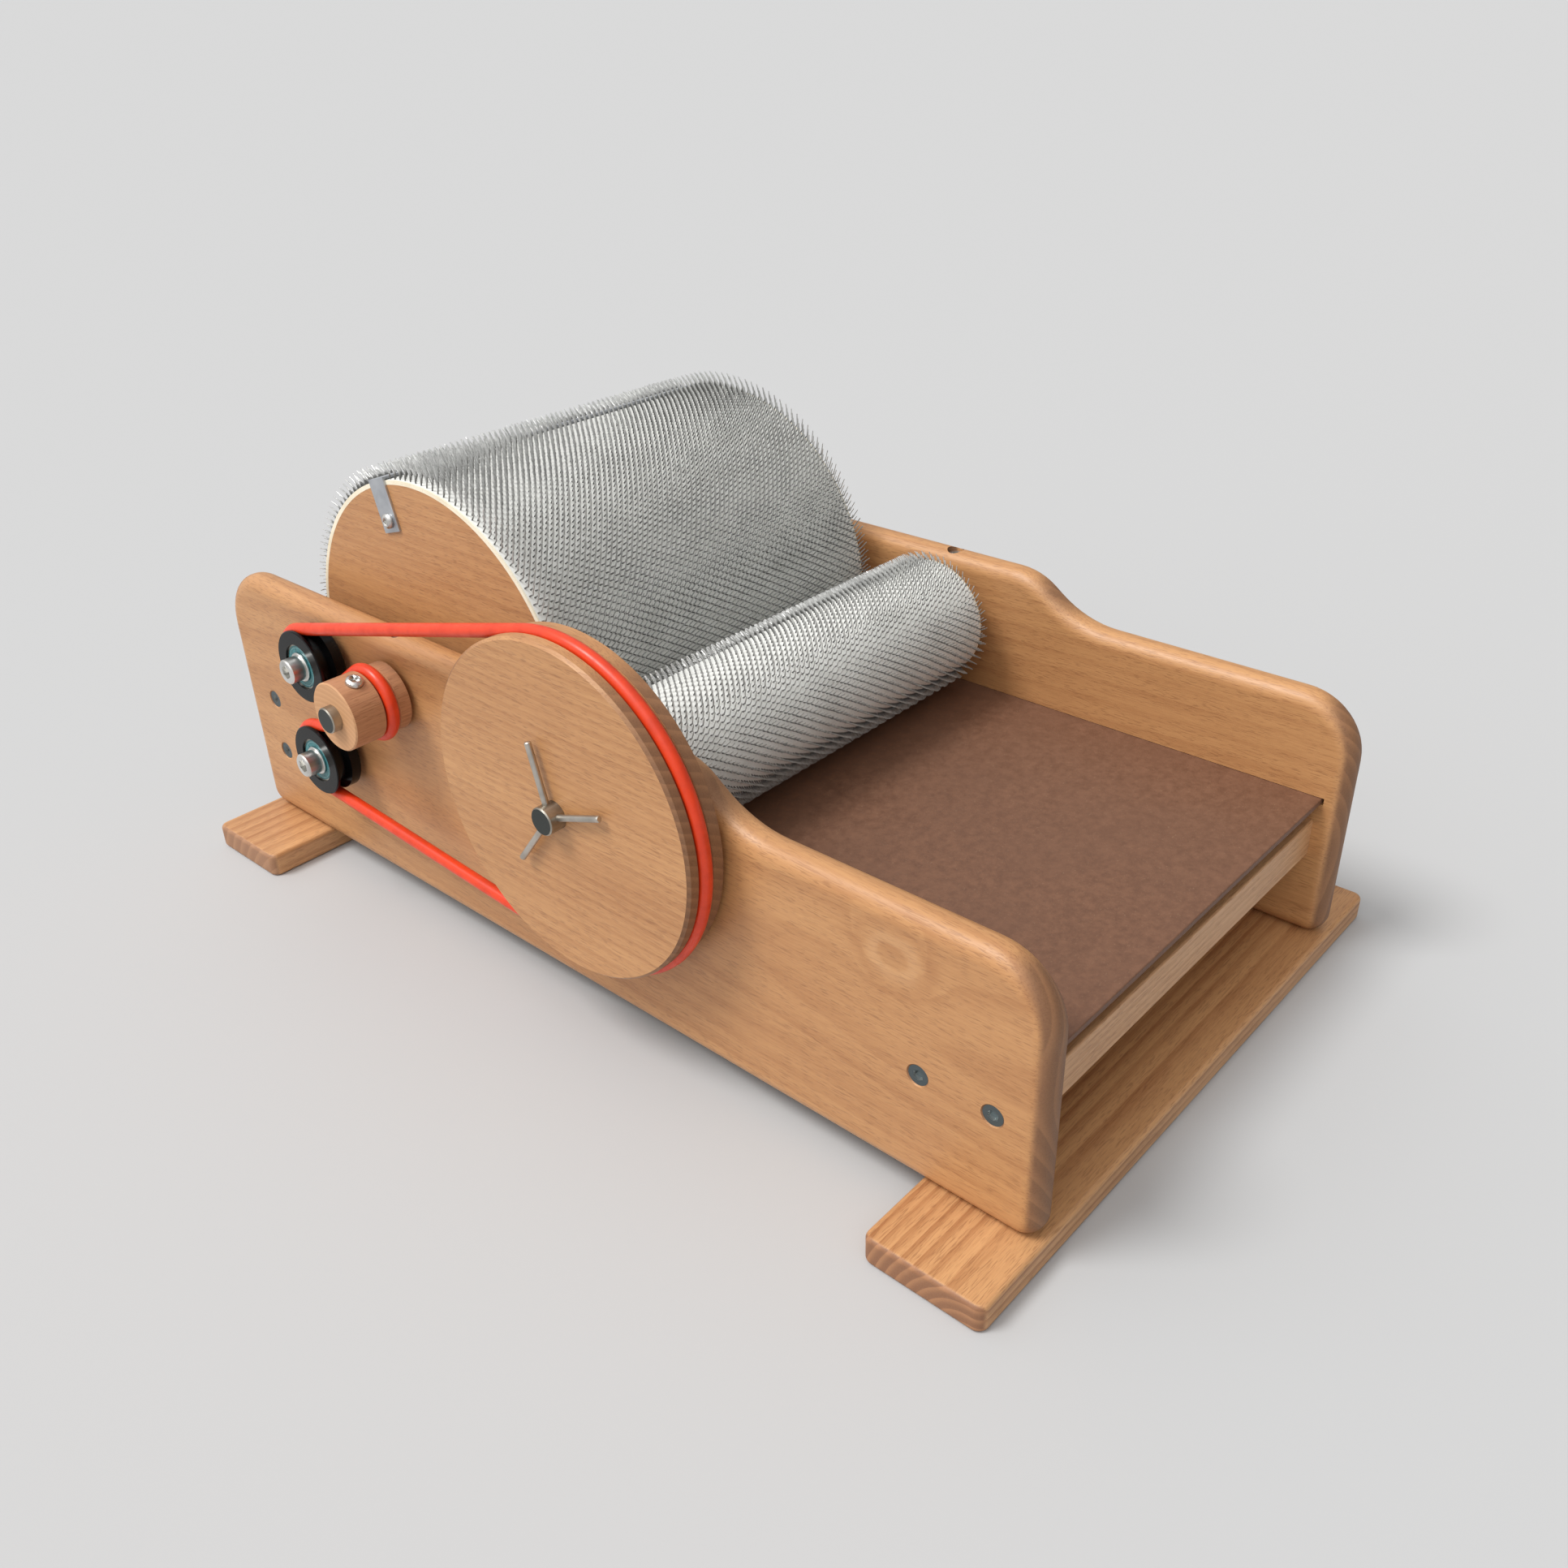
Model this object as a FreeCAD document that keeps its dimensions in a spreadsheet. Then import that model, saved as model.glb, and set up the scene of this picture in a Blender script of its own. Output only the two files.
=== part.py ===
# Hand-cranked drum carder, for combing washed fleece into a batt.
#
# Two beech side plates stand on two cross feet. A small toothed roller, the licker-in, takes fibre
# from the feed tray and hands it to the large toothed main drum. The crank turns the main axle on
# the right. A round belt on the left drives the licker-in slowly, the opposite way, over two idlers.
#
# Frame: +X to the crank side, -Y to the feed tray, +Z up. The origin is on the table, halfway
# between the outer faces of the side plates and halfway along them.

import FreeCAD, Part
import math
import os
import Sketcher

doc = FreeCAD.newDocument("drum_carder")

# ---------------------------------------------------------------- driving dimensions, in millimetres

DIMENSIONS = (
    # side plates
    ("plate_outer_x", 125.0), ("plate_thickness", 15.0), ("plate_half_length", 243.5),
    ("plate_rear_top", 148.2), ("plate_front_top", 129.0), ("plate_edge_round", 7.0),
    ("plate_top_corner", 28.0), ("plate_rear_corner", 30.0), ("plate_bottom_corner", 9.0),
    ("shoulder_start", 69.0), ("shoulder_convex", 33.0), ("shoulder_concave", 52.0),
    ("shoulder_angle", 36.0),
    # feet, rails and feed tray
    ("foot_thickness", 12.5), ("foot_width", 52.0), ("foot_half_length", 158.5),
    ("front_foot_front", 245.3), ("foot_corner", 4.5), ("foot_edge_round", 2.0),
    ("rail_thickness", 18.0), ("rail_width", 48.0), ("rail_edge_round", 1.0),
    ("front_rail_front", 231.6), ("front_rail_bottom", 53.5),
    ("rear_rail_middle", 216.5), ("rear_rail_bottom", 43.0),
    ("tray_thickness", 3.0), ("tray_top", 83.0), ("tray_front", 233.5), ("tray_back", 38.0),
    ("tray_groove_depth", 4.0), ("tray_groove_play", 0.2),
    # axles and their bushes
    ("axle_radius", 6.0), ("axle_chamfer", 0.5), ("running_gap", 0.05), ("fixed_gap", 0.03),
    ("bush_wall", 2.0), ("bush_flange_radius", 10.5), ("bush_flange", 1.5),
    ("collar_radius", 11.0), ("collar_width", 8.0), ("collar_play", 0.3),
    ("main_axle_back", 102.5), ("main_axle_height", 121.2),
    ("main_axle_left_end", 161.0), ("main_axle_right_end", 144.5),
    ("licker_axle_front", 32.0), ("licker_axle_height", 118.5),
    ("licker_axle_left_end", 153.7), ("licker_axle_right_end", 130.0),
    # main drum
    ("drum_half_width", 99.4), ("drum_core_radius", 88.0), ("drum_disc_width", 18.0),
    ("drum_shell_wall", 6.0), ("drum_cloth", 2.0), ("drum_teeth", 7.8), ("tooth_border", 1.2),
    ("strip_angle", 16.5), ("strip_width", 12.0), ("strip_thickness", 1.0), ("strip_tab_end", 67.0),
    ("strip_screw_radius", 72.3), ("teeth_seam_gap", 9.0),
    # licker-in
    ("licker_core_radius", 27.5), ("licker_cloth", 1.5), ("licker_teeth", 5.0),
    # belt drive on the left
    ("belt_plane", 137.2), ("belt_radius", 2.9),
    ("groove_depth", 4.0), ("groove_floor", 1.5), ("groove_mouth", 3.9), ("belt_sink", 0.6),
    ("disc_radius", 72.3), ("disc_width", 18.0), ("disc_chamfer", 1.2),
    ("small_pulley_radius", 16.0), ("small_pulley_face", 156.5), ("small_pulley_back", 127.7),
    ("idler_radius", 17.5), ("idler_face", 142.0), ("idler_back", 128.5), ("idler_bore", 11.0),
    ("upper_idler_back", 151.5), ("upper_idler_height", 125.5),
    ("lower_idler_back", 155.0), ("lower_idler_height", 75.0),
    ("bearing_bore", 4.0), ("bearing_inner", 5.7), ("bearing_width", 7.0), ("bearing_step", 1.0),
    # crank
    ("crank_length", 100.0), ("crank_hub_radius", 12.0), ("crank_hub_start", 127.7),
    ("crank_arm_start", 137.5), ("crank_arm_width", 20.0), ("crank_arm_thickness", 5.0),
    ("handle_radius", 14.0), ("handle_length", 84.0), ("handle_start", 145.0),
    ("spindle_radius", 4.0),
)

sheet = doc.addObject("Spreadsheet::Sheet", "Sizes")
for row, (alias, number) in enumerate(DIMENSIONS, start=1):
    sheet.set("A%d" % row, alias)
    sheet.set("B%d" % row, str(number))
    sheet.setAlias("B%d" % row, alias)
doc.recompute()


class Size:
    """A length that knows its value and the spreadsheet expression that gives it."""

    def __init__(self, value, text):
        self.value = float(value)
        self.text = text

    def __add__(self, other):
        other = as_size(other)
        return Size(self.value + other.value, "(%s + %s)" % (self.text, other.text))

    def __sub__(self, other):
        other = as_size(other)
        return Size(self.value - other.value, "(%s - %s)" % (self.text, other.text))

    def __mul__(self, other):
        other = as_size(other)
        return Size(self.value * other.value, "(%s * %s)" % (self.text, other.text))

    def __neg__(self):
        return Size(-self.value, "(-%s)" % self.text)

    def __radd__(self, other):
        return as_size(other) + self

    def __rsub__(self, other):
        return as_size(other) - self


def as_size(number):
    if isinstance(number, Size):
        return number
    return Size(number, "(%r)" % float(number))


def size(alias):
    return Size(getattr(sheet, alias), "Sizes.%s" % alias)


ZERO = as_size(0.0)

# ---------------------------------------------------------------- helpers


def place(thing, x=ZERO, y=ZERO, z=ZERO, turn=None):
    """Put a sub-part at a point taken from the sheet, after an optional turn."""
    thing.Placement = FreeCAD.Placement(FreeCAD.Vector(0, 0, 0), turn or FreeCAD.Rotation())
    for axis, amount in (("x", x), ("y", y), ("z", z)):
        thing.setExpression("Placement.Base.%s" % axis, as_size(amount).text)
    return thing


def new_body(label):
    body = doc.addObject("PartDesign::Body", label)
    body.Label = label
    return body


def new_sketch(body, role, name, offset=ZERO):
    """A sketch on one of the body's own origin planes, lifted along its normal."""
    sketch = body.newObject("Sketcher::SketchObject", name)
    plane = [item for item in body.Origin.OriginFeatures if item.Role == role][0]
    sketch.AttachmentSupport = [(plane, "")]
    sketch.MapMode = "FlatFace"
    sketch.setExpression("AttachmentOffset.Base.z", as_size(offset).text)
    return sketch


def fix_point(sketch, geometry, end, across, up):
    """Hold one point of the sketch at two sheet sizes."""
    for kind, amount in (("DistanceX", across), ("DistanceY", up)):
        index = sketch.addConstraint(Sketcher.Constraint(kind, -1, 1, geometry, end, amount.value))
        sketch.setExpression("Constraints[%d]" % index, amount.text)


def polygon(sketch, points):
    """A closed outline of straight lines whose corners come from the sheet."""
    points = [(as_size(across), as_size(up)) for across, up in points]
    count = len(points)
    for index in range(count):
        start, finish = points[index], points[(index + 1) % count]
        line = Part.LineSegment(FreeCAD.Vector(start[0].value, start[1].value, 0),
                                FreeCAD.Vector(finish[0].value, finish[1].value, 0))
        sketch.addGeometry(line, False)
    for index in range(count):
        sketch.addConstraint(Sketcher.Constraint("Coincident", index, 2, (index + 1) % count, 1))
    for index, (across, up) in enumerate(points):
        fix_point(sketch, index, 1, across, up)


def revolve(body, points, angle=360.0, name="Turning"):
    """Turn a half profile, given as (distance along X, radius), about the body's X axis."""
    sketch = new_sketch(body, "XY_Plane", name + "Profile")
    polygon(sketch, points)
    turning = body.newObject("PartDesign::Revolution", name)
    turning.Profile = (sketch, [""])
    turning.ReferenceAxis = (sketch, ["H_Axis"])
    turning.setExpression("Angle", as_size(angle).text)
    return turning


def pad(body, sketch, height, middle=False, name="Board"):
    board = body.newObject("PartDesign::Pad", name)
    board.Profile = (sketch, [""])
    board.setExpression("Length", as_size(height).text)
    board.Midplane = middle
    return board


def turned(label, points):
    """A turned piece on the X axis."""
    body = new_body(label)
    revolve(body, points)
    return body


AIM = {
    "+X": FreeCAD.Rotation(FreeCAD.Vector(0, 1, 0), 90),
    "-X": FreeCAD.Rotation(FreeCAD.Vector(0, 1, 0), -90),
    "+Z": FreeCAD.Rotation(),
    "-Z": FreeCAD.Rotation(FreeCAD.Vector(1, 0, 0), 180),
}


def cut_round(body, name, aim, radius, depth, x=ZERO, y=ZERO, z=ZERO):
    """Drill a round hole from a point, along an axis, in the body's own frame."""
    hole = body.newObject("PartDesign::SubtractiveCylinder", name)
    hole.setExpression("Radius", as_size(radius).text)
    hole.setExpression("Height", as_size(depth).text)
    return place(hole, x, y, z, AIM[aim])


def cut_cone(body, name, aim, mouth, throat, depth, x=ZERO, y=ZERO, z=ZERO):
    """Countersink from a point, along an axis."""
    hole = body.newObject("PartDesign::SubtractiveCone", name)
    hole.setExpression("Radius1", as_size(mouth).text)
    hole.setExpression("Radius2", as_size(throat).text)
    hole.setExpression("Height", as_size(depth).text)
    return place(hole, x, y, z, AIM[aim])


def cut_hex(body, name, aim, radius, depth, x=ZERO, y=ZERO, z=ZERO):
    """Sink a hexagon socket from a point, along an axis."""
    socket = body.newObject("PartDesign::SubtractivePrism", name)
    socket.Polygon = 6
    socket.setExpression("Circumradius", as_size(radius).text)
    socket.setExpression("Height", as_size(depth).text)
    return place(socket, x, y, z, AIM[aim])


def edges_of(feature, wanted):
    """Names of a feature's edges that pass a test on the edge."""
    doc.recompute()
    return ["Edge%d" % index for index, edge in enumerate(feature.Shape.Edges, start=1) if wanted(edge)]


def round_edges(body, feature, wanted, radius, name="Rounding"):
    rounding = body.newObject("PartDesign::Fillet", name)
    rounding.Base = (feature, edges_of(feature, wanted))
    rounding.setExpression("Radius", as_size(radius).text)
    return rounding


def spans(edge, axis):
    """The edge's extent along one axis."""
    box = edge.BoundBox
    return {"x": box.XLength, "y": box.YLength, "z": box.ZLength}[axis]


FLAT = 1e-4
nodes = {}


def node(label, thing):
    """Name a finished sub-part: its label is its file's name."""
    thing.Label = label
    nodes[label] = thing
    return thing


def group(label, things):
    """Identical pieces kept together as one node of separate solids."""
    gathered = doc.addObject("Part::Compound", label)
    gathered.Links = things
    return node(label, gathered)


# ---------------------------------------------------------------- places used by several sub-parts

outer = size("plate_outer_x")
inner = outer - size("plate_thickness")
main_y, main_z = size("main_axle_back"), size("main_axle_height")
licker_y, licker_z = -size("licker_axle_front"), size("licker_axle_height")
upper_idler = (size("upper_idler_back"), size("upper_idler_height"))
lower_idler = (size("lower_idler_back"), size("lower_idler_height"))
AXLES = {"main": (main_y, main_z), "licker": (licker_y, licker_z)}
bush_outer = size("axle_radius") + size("running_gap") + size("bush_wall")
front_foot_middle = -(size("front_foot_front") - size("foot_width") * 0.5)
rear_foot_middle = size("plate_half_length") - size("foot_width") * 0.5

# Rail screws: two at each end of each rail, on the rail's middle line.
SCREW_SPREAD = 15.75
rail_middle_y = -(size("front_rail_front") - size("rail_width") * 0.5)
rail_middle_z = size("front_rail_bottom") + size("rail_thickness") * 0.5
rear_middle_z = size("rear_rail_bottom") + size("rail_width") * 0.5
RAIL_SCREWS = [(rail_middle_y - SCREW_SPREAD, rail_middle_z), (rail_middle_y + SCREW_SPREAD, rail_middle_z),
               (size("rear_rail_middle"), rear_middle_z - SCREW_SPREAD * 0.95),
               (size("rear_rail_middle"), rear_middle_z + SCREW_SPREAD * 0.95)]
SCREW_HEAD, SCREW_SHANK, SCREW_LENGTH, SCREW_SUNK = 4.3, 2.2, 42.0, 0.4
FOOT_SCREW_LENGTH, FOOT_SCREW_STEP, FOOT_SCREW_SUNK = 38.0, 14.0, 1.0
GRUB_RADIUS, GRUB_BORE = 2.0, 2.05
LOCK_HEAD, LOCK_SHANK, LOCK_SUNK, LOCK_HEAD_HEIGHT = 4.0, 2.0, 2.2, 2.5

# ---------------------------------------------------------------- side plates


def plate_outline(sketch):
    """High at the drum, lower at the tray, with an S-shaped shoulder between."""
    half, bottom = size("plate_half_length"), size("foot_thickness")
    high, low = size("plate_rear_top"), size("plate_front_top")
    corner, toe = size("plate_top_corner"), size("plate_bottom_corner")
    rear_corner = size("plate_rear_corner")
    convex, concave = size("shoulder_convex"), size("shoulder_concave")
    angle = math.radians(size("shoulder_angle").value)
    drop = 1.0 - math.cos(angle)
    start = -size("shoulder_start").value
    crest = (start - convex.value * math.sin(angle), high.value - convex.value * drop)
    slope = (high.value - low.value - (convex.value + concave.value) * drop) / math.sin(angle)
    trough = (crest[0] - slope * math.cos(angle), crest[1] - slope * math.sin(angle))
    level = trough[0] - concave.value * math.sin(angle)
    length, base = half.value, bottom.value
    quarter = math.pi / 2

    def line(first, second):
        sketch.addGeometry(Part.LineSegment(FreeCAD.Vector(first[0], first[1], 0),
                                            FreeCAD.Vector(second[0], second[1], 0)), False)

    def arc(middle, radius, begin, finish):
        whole = Part.Circle(FreeCAD.Vector(middle[0], middle[1], 0), FreeCAD.Vector(0, 0, 1), radius)
        sketch.addGeometry(Part.ArcOfCircle(whole, begin, finish), False)

    small, large, rear = toe.value, corner.value, rear_corner.value
    line((-length + small, base), (length - small, base))
    arc((length - small, base + small), small, -quarter, 0)
    line((length, base + small), (length, high.value - rear))
    arc((length - rear, high.value - rear), rear, 0, quarter)
    line((length - rear, high.value), (start, high.value))
    arc((start, high.value - convex.value), convex.value, quarter, quarter + angle)
    line(trough, crest)
    arc((level, low.value + concave.value), concave.value, -quarter, -quarter + angle)
    line((level, low.value), (-length + large, low.value))
    arc((-length + large, low.value - large), large, quarter, 2 * quarter)
    line((-length, low.value - large), (-length, base + small))
    arc((-length + small, base + small), small, 2 * quarter, 3 * quarter)
    # Each joint is (curve, its end, next curve, its start); the slope and the concave arc run backwards.
    joints = [(0, 2, 1, 1), (1, 2, 2, 1), (2, 2, 3, 1), (3, 2, 4, 1), (4, 2, 5, 1), (5, 2, 6, 2),
              (6, 1, 7, 2), (7, 1, 8, 1), (8, 2, 9, 1), (9, 2, 10, 1), (10, 2, 11, 1), (11, 2, 0, 1)]
    for joint in joints:
        sketch.addConstraint(Sketcher.Constraint("Tangent", *joint))
    for level_line in (0, 4, 8):
        sketch.addConstraint(Sketcher.Constraint("Horizontal", level_line))
    for upright in (2, 10):
        sketch.addConstraint(Sketcher.Constraint("Vertical", upright))
    sized = [("DistanceY", (-1, 1, 0, 1), bottom), ("DistanceX", (-1, 1, 2, 1), half),
             ("DistanceX", (10, 1, -1, 1), half), ("DistanceY", (-1, 1, 4, 1), high),
             ("DistanceY", (-1, 1, 8, 1), low), ("DistanceX", (4, 2, -1, 1), size("shoulder_start"))]
    sized += [("Radius", (curve,), radius) for curve, radius in
              ((1, toe), (3, rear_corner), (5, convex), (7, concave), (9, corner), (11, toe))]
    for kind, picks, amount in sized:
        index = sketch.addConstraint(Sketcher.Constraint(kind, *picks, amount.value))
        sketch.setExpression("Constraints[%d]" % index, amount.text)
    index = sketch.addConstraint(Sketcher.Constraint("Angle", 6, angle))
    sketch.setExpression("Constraints[%d]" % index, size("shoulder_angle").text)


def side_plate(label, side):
    """One side plate; side is -1 for the belt side and +1 for the crank side."""
    body = new_body(label)
    near = -outer if side < 0 else inner
    sketch = new_sketch(body, "YZ_Plane", "Outline", near)
    plate_outline(sketch)
    board = pad(body, sketch, size("plate_thickness"))
    round_edges(body, board, lambda edge: spans(edge, "x") < FLAT, size("plate_edge_round"))
    into = "+X" if side < 0 else "-X"
    face = outer * side
    for axle, (y, z) in AXLES.items():
        cut_round(body, axle.title() + "Bore", into, bush_outer + size("fixed_gap"),
                  size("plate_thickness"), face, y, z)
        top = size("plate_rear_top")
        middle = (outer - size("plate_thickness") * 0.5) * side
        cut_round(body, axle.title() + "LockSeat", "-Z", LOCK_HEAD + 0.2, LOCK_SUNK + LOCK_HEAD_HEIGHT,
                  middle, y, top)
        cut_round(body, axle.title() + "LockBore", "-Z", LOCK_SHANK + 0.05, top - z - bush_outer,
                  middle, y, top)
    for count, (y, z) in enumerate(RAIL_SCREWS):
        cut_round(body, "RailScrewBore%d" % count, into, SCREW_SHANK + 0.05,
                  size("plate_thickness"), face, y, z)
        cut_cone(body, "RailScrewSeat%d" % count, into, SCREW_HEAD + 0.1 + SCREW_SUNK, SCREW_SHANK,
                 SCREW_HEAD + 0.1 + SCREW_SUNK - SCREW_SHANK, face, y, z)
    for count, y in enumerate(FOOT_SCREW_Y):
        cut_round(body, "FootScrewBore%d" % count, "+Z", SCREW_SHANK + 0.05, FOOT_SCREW_LENGTH,
                  (outer - size("plate_thickness") * 0.5) * side, y, ZERO)
    if side < 0:
        for name, (y, z) in (("Upper", upper_idler), ("Lower", lower_idler)):
            cut_round(body, name + "IdlerBore", into, size("bearing_bore") + 0.05,
                      size("plate_thickness"), face, y, z)
            cut_hex(body, name + "NutSeat", "-X", NUT_RADIUS + 0.1, NUT_HEIGHT, -inner, y, z)
    groove = body.newObject("PartDesign::SubtractiveBox", "TrayGroove")
    depth, play = size("tray_groove_depth"), size("tray_groove_play")
    groove.setExpression("Length", depth.text)
    groove.setExpression("Width", (size("tray_front") - size("tray_back") + play * 10).text)
    groove.setExpression("Height", (size("tray_thickness") + play * 2).text)
    place(groove, -inner - depth if side < 0 else inner, -size("tray_front") - play * 5,
          size("tray_top") - size("tray_thickness") - play)
    return node(label, body)


NUT_RADIUS, NUT_HEIGHT = 7.5, 6.5
FOOT_SCREW_Y = [front_foot_middle - FOOT_SCREW_STEP, front_foot_middle + FOOT_SCREW_STEP,
                rear_foot_middle - FOOT_SCREW_STEP, rear_foot_middle + FOOT_SCREW_STEP]
side_plate("left_side_plate", -1)
side_plate("right_side_plate", 1)

# ---------------------------------------------------------------- feet, rails and tray


def board_body(label, length, width, height):
    """A sawn board, middle at the origin, its underside at zero."""
    body = new_body(label)
    sketch = new_sketch(body, "XY_Plane", "Outline")
    polygon(sketch, [(length * -0.5, width * -0.5), (length * 0.5, width * -0.5),
                     (length * 0.5, width * 0.5), (length * -0.5, width * 0.5)])
    return body, pad(body, sketch, height)


def foot(label, y):
    body, board = board_body(label, size("foot_half_length") * 2, size("foot_width"), size("foot_thickness"))
    corners = round_edges(body, board, lambda edge: spans(edge, "z") > 1, size("foot_corner"), "Corners")
    rounded = round_edges(body, corners, lambda edge: spans(edge, "z") < FLAT and edge.BoundBox.ZMin > 1,
                          size("foot_edge_round"), "TopRound")
    round_edges(body, rounded, lambda edge: edge.BoundBox.ZMax < FLAT, size("foot_edge_round"), "SoleRound")
    sunk = SCREW_HEAD + FOOT_SCREW_SUNK + 0.1
    for side in (-1, 1):
        for step in (-1, 1):
            middle = (outer - size("plate_thickness") * 0.5) * side
            name = "%s%s" % ("L" if side < 0 else "R", "Front" if step < 0 else "Rear")
            along = as_size(FOOT_SCREW_STEP * step)
            cut_round(body, "Bore" + name, "+Z", SCREW_SHANK + 0.05, size("foot_thickness"), middle, along)
            cut_cone(body, "Seat" + name, "+Z", sunk, SCREW_SHANK, sunk - SCREW_SHANK, middle, along)
    place(body, ZERO, y)
    return node(label, body)


foot("front_foot", front_foot_middle)
foot("rear_foot", rear_foot_middle)


def rail(label, width, height, y, bottom, holes):
    """A cross rail between the plates, with pilot holes in both ends."""
    body, board = board_body(label, inner * 2, width, height)
    round_edges(body, board, lambda edge: spans(edge, "x") > 10, size("rail_edge_round"))
    for count, (hole_y, hole_z) in enumerate(holes):
        for side, aim in ((-1, "+X"), (1, "-X")):
            cut_round(body, "Pilot%d%s" % (count, aim[1] + str(side + 1)), aim, SCREW_SHANK + 0.05,
                      SCREW_LENGTH - size("plate_thickness"), inner * side, hole_y - y, hole_z - bottom)
    place(body, ZERO, y, bottom)
    return node(label, body)


rail("front_rail", size("rail_width"), size("rail_thickness"), rail_middle_y,
     size("front_rail_bottom"), RAIL_SCREWS[:2])
rail("rear_rail", size("rail_thickness"), size("rail_width"), size("rear_rail_middle"),
     size("rear_rail_bottom"), RAIL_SCREWS[2:])

tray_length = size("tray_front") - size("tray_back")
tray_body, tray_board = board_body("feed_tray", (inner + size("tray_groove_depth") - 0.5) * 2,
                                   tray_length, size("tray_thickness"))
round_edges(tray_body, tray_board, lambda edge: spans(edge, "x") > 10, 0.6)
place(tray_body, ZERO, -(size("tray_front") + size("tray_back")) * 0.5,
      size("tray_top") - size("tray_thickness"))
node("feed_tray", tray_body)

# ---------------------------------------------------------------- screws of the frame


def countersunk(label, length):
    """A countersunk screw with a hexagon socket; its head faces -X and its tip points to +X."""
    body = turned(label, [(0, 0), (0, SCREW_HEAD), (SCREW_HEAD - SCREW_SHANK, SCREW_SHANK),
                          (length - 3.0, SCREW_SHANK), (length, 0)])
    cut_hex(body, "Socket", "+X", 2.3, 1.6)
    return body


rail_screws, foot_screws, lock_screws = [], [], []
for side, turn in ((-1, None), (1, FreeCAD.Rotation(FreeCAD.Vector(0, 0, 1), 180))):
    for count, (y, z) in enumerate(RAIL_SCREWS):
        screw = countersunk("rail_screw_%d_%d" % (side + 1, count), SCREW_LENGTH - 1.0)
        rail_screws.append(place(screw, (outer - SCREW_SUNK) * side, y, z, turn))
    for count, y in enumerate(FOOT_SCREW_Y):
        screw = countersunk("foot_screw_%d_%d" % (side + 1, count), FOOT_SCREW_LENGTH - 2.0)
        upward = FreeCAD.Rotation(FreeCAD.Vector(0, 1, 0), -90)
        middle = (outer - size("plate_thickness") * 0.5) * side
        foot_screws.append(place(screw, middle, y, as_size(FOOT_SCREW_SUNK), upward))
    for axle, (y, z) in AXLES.items():
        reach = size("plate_rear_top") - LOCK_SUNK - z - bush_outer - 0.2
        screw = turned("lock_screw_%d_%s" % (side + 1, axle),
                       [(0, 0), (0, LOCK_HEAD - 0.4), (0.4, LOCK_HEAD), (LOCK_HEAD_HEIGHT, LOCK_HEAD),
                        (LOCK_HEAD_HEIGHT, LOCK_SHANK), (reach, LOCK_SHANK), (reach, 0)])
        cut_hex(screw, "Socket", "+X", 2.0, 1.8)
        downward = FreeCAD.Rotation(FreeCAD.Vector(0, 1, 0), 90)
        middle = (outer - size("plate_thickness") * 0.5) * side
        lock_screws.append(place(screw, middle, y, size("plate_rear_top") - LOCK_SUNK, downward))
group("rail_screws", rail_screws)
group("foot_screws", foot_screws)
group("axle_lock_screws", lock_screws)

# ---------------------------------------------------------------- axles, bushes and collars

radius = size("axle_radius")
bore = radius + size("fixed_gap")


def axle(label, left, right):
    """A round steel axle with small bevels at both ends."""
    bevel = size("axle_chamfer")
    body = turned(label, [(-left, 0), (-left, radius - bevel), (-left + bevel, radius),
                          (right - bevel, radius), (right, radius - bevel), (right, 0)])
    return body


def bushes(label, y, z):
    """A flanged bush in each side plate, flange outside."""
    made = []
    for side, turn in ((-1, None), (1, FreeCAD.Rotation(FreeCAD.Vector(0, 0, 1), 180))):
        hole = radius + size("running_gap")
        bush = turned("%s_%d" % (label, side + 1),
                      [(-outer - size("bush_flange"), hole),
                       (-outer - size("bush_flange"), size("bush_flange_radius")),
                       (-outer, size("bush_flange_radius")), (-outer, bush_outer),
                       (-inner, bush_outer), (-inner, hole)])
        made.append(place(bush, ZERO, y, z, turn))
    return group(label, made)


def collars(label, y, z):
    """Steel collars that hold an axle between the plates, and their grub screws."""
    rings, screws = [], []
    hole_depth = size("collar_radius") - radius
    for side in (-1, 1):
        middle = (inner - size("collar_play") - size("collar_width") * 0.5) * side
        half = size("collar_width") * 0.5
        ring = turned("%s_ring_%d" % (label, side + 1),
                      [(-half, bore), (-half, size("collar_radius") - 0.6),
                       (-half + 0.6, size("collar_radius")),
                       (half - 0.6, size("collar_radius")), (half, size("collar_radius") - 0.6), (half, bore)])
        cut_round(ring, "GrubBore", "+Z", GRUB_BORE, hole_depth + 2.0, ZERO, ZERO, radius - 1.0)
        rings.append(place(ring, middle, y, z))
        grub = turned("%s_grub_%d" % (label, side + 1),
                      [(0, 0), (0, GRUB_RADIUS), (hole_depth - 0.3, GRUB_RADIUS), (hole_depth - 0.3, 0)])
        cut_hex(grub, "Socket", "+X", 1.15, 1.8)
        screws.append(place(grub, middle, y, z + size("collar_radius") - 0.1,
                            FreeCAD.Rotation(FreeCAD.Vector(0, 1, 0), 90)))
    group(label + "_collars", rings)
    group(label + "_collar_screws", screws)


def drive_pin(label, half_reach, x, y, z):
    """A steel cross pin that locks a roller to its axle."""
    pin = turned(label, [(-half_reach, 0), (-half_reach, 2.0), (half_reach, 2.0), (half_reach, 0)])
    place(pin, x, y, z, FreeCAD.Rotation(FreeCAD.Vector(0, 1, 0), 90))
    return node(label, pin)


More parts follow.
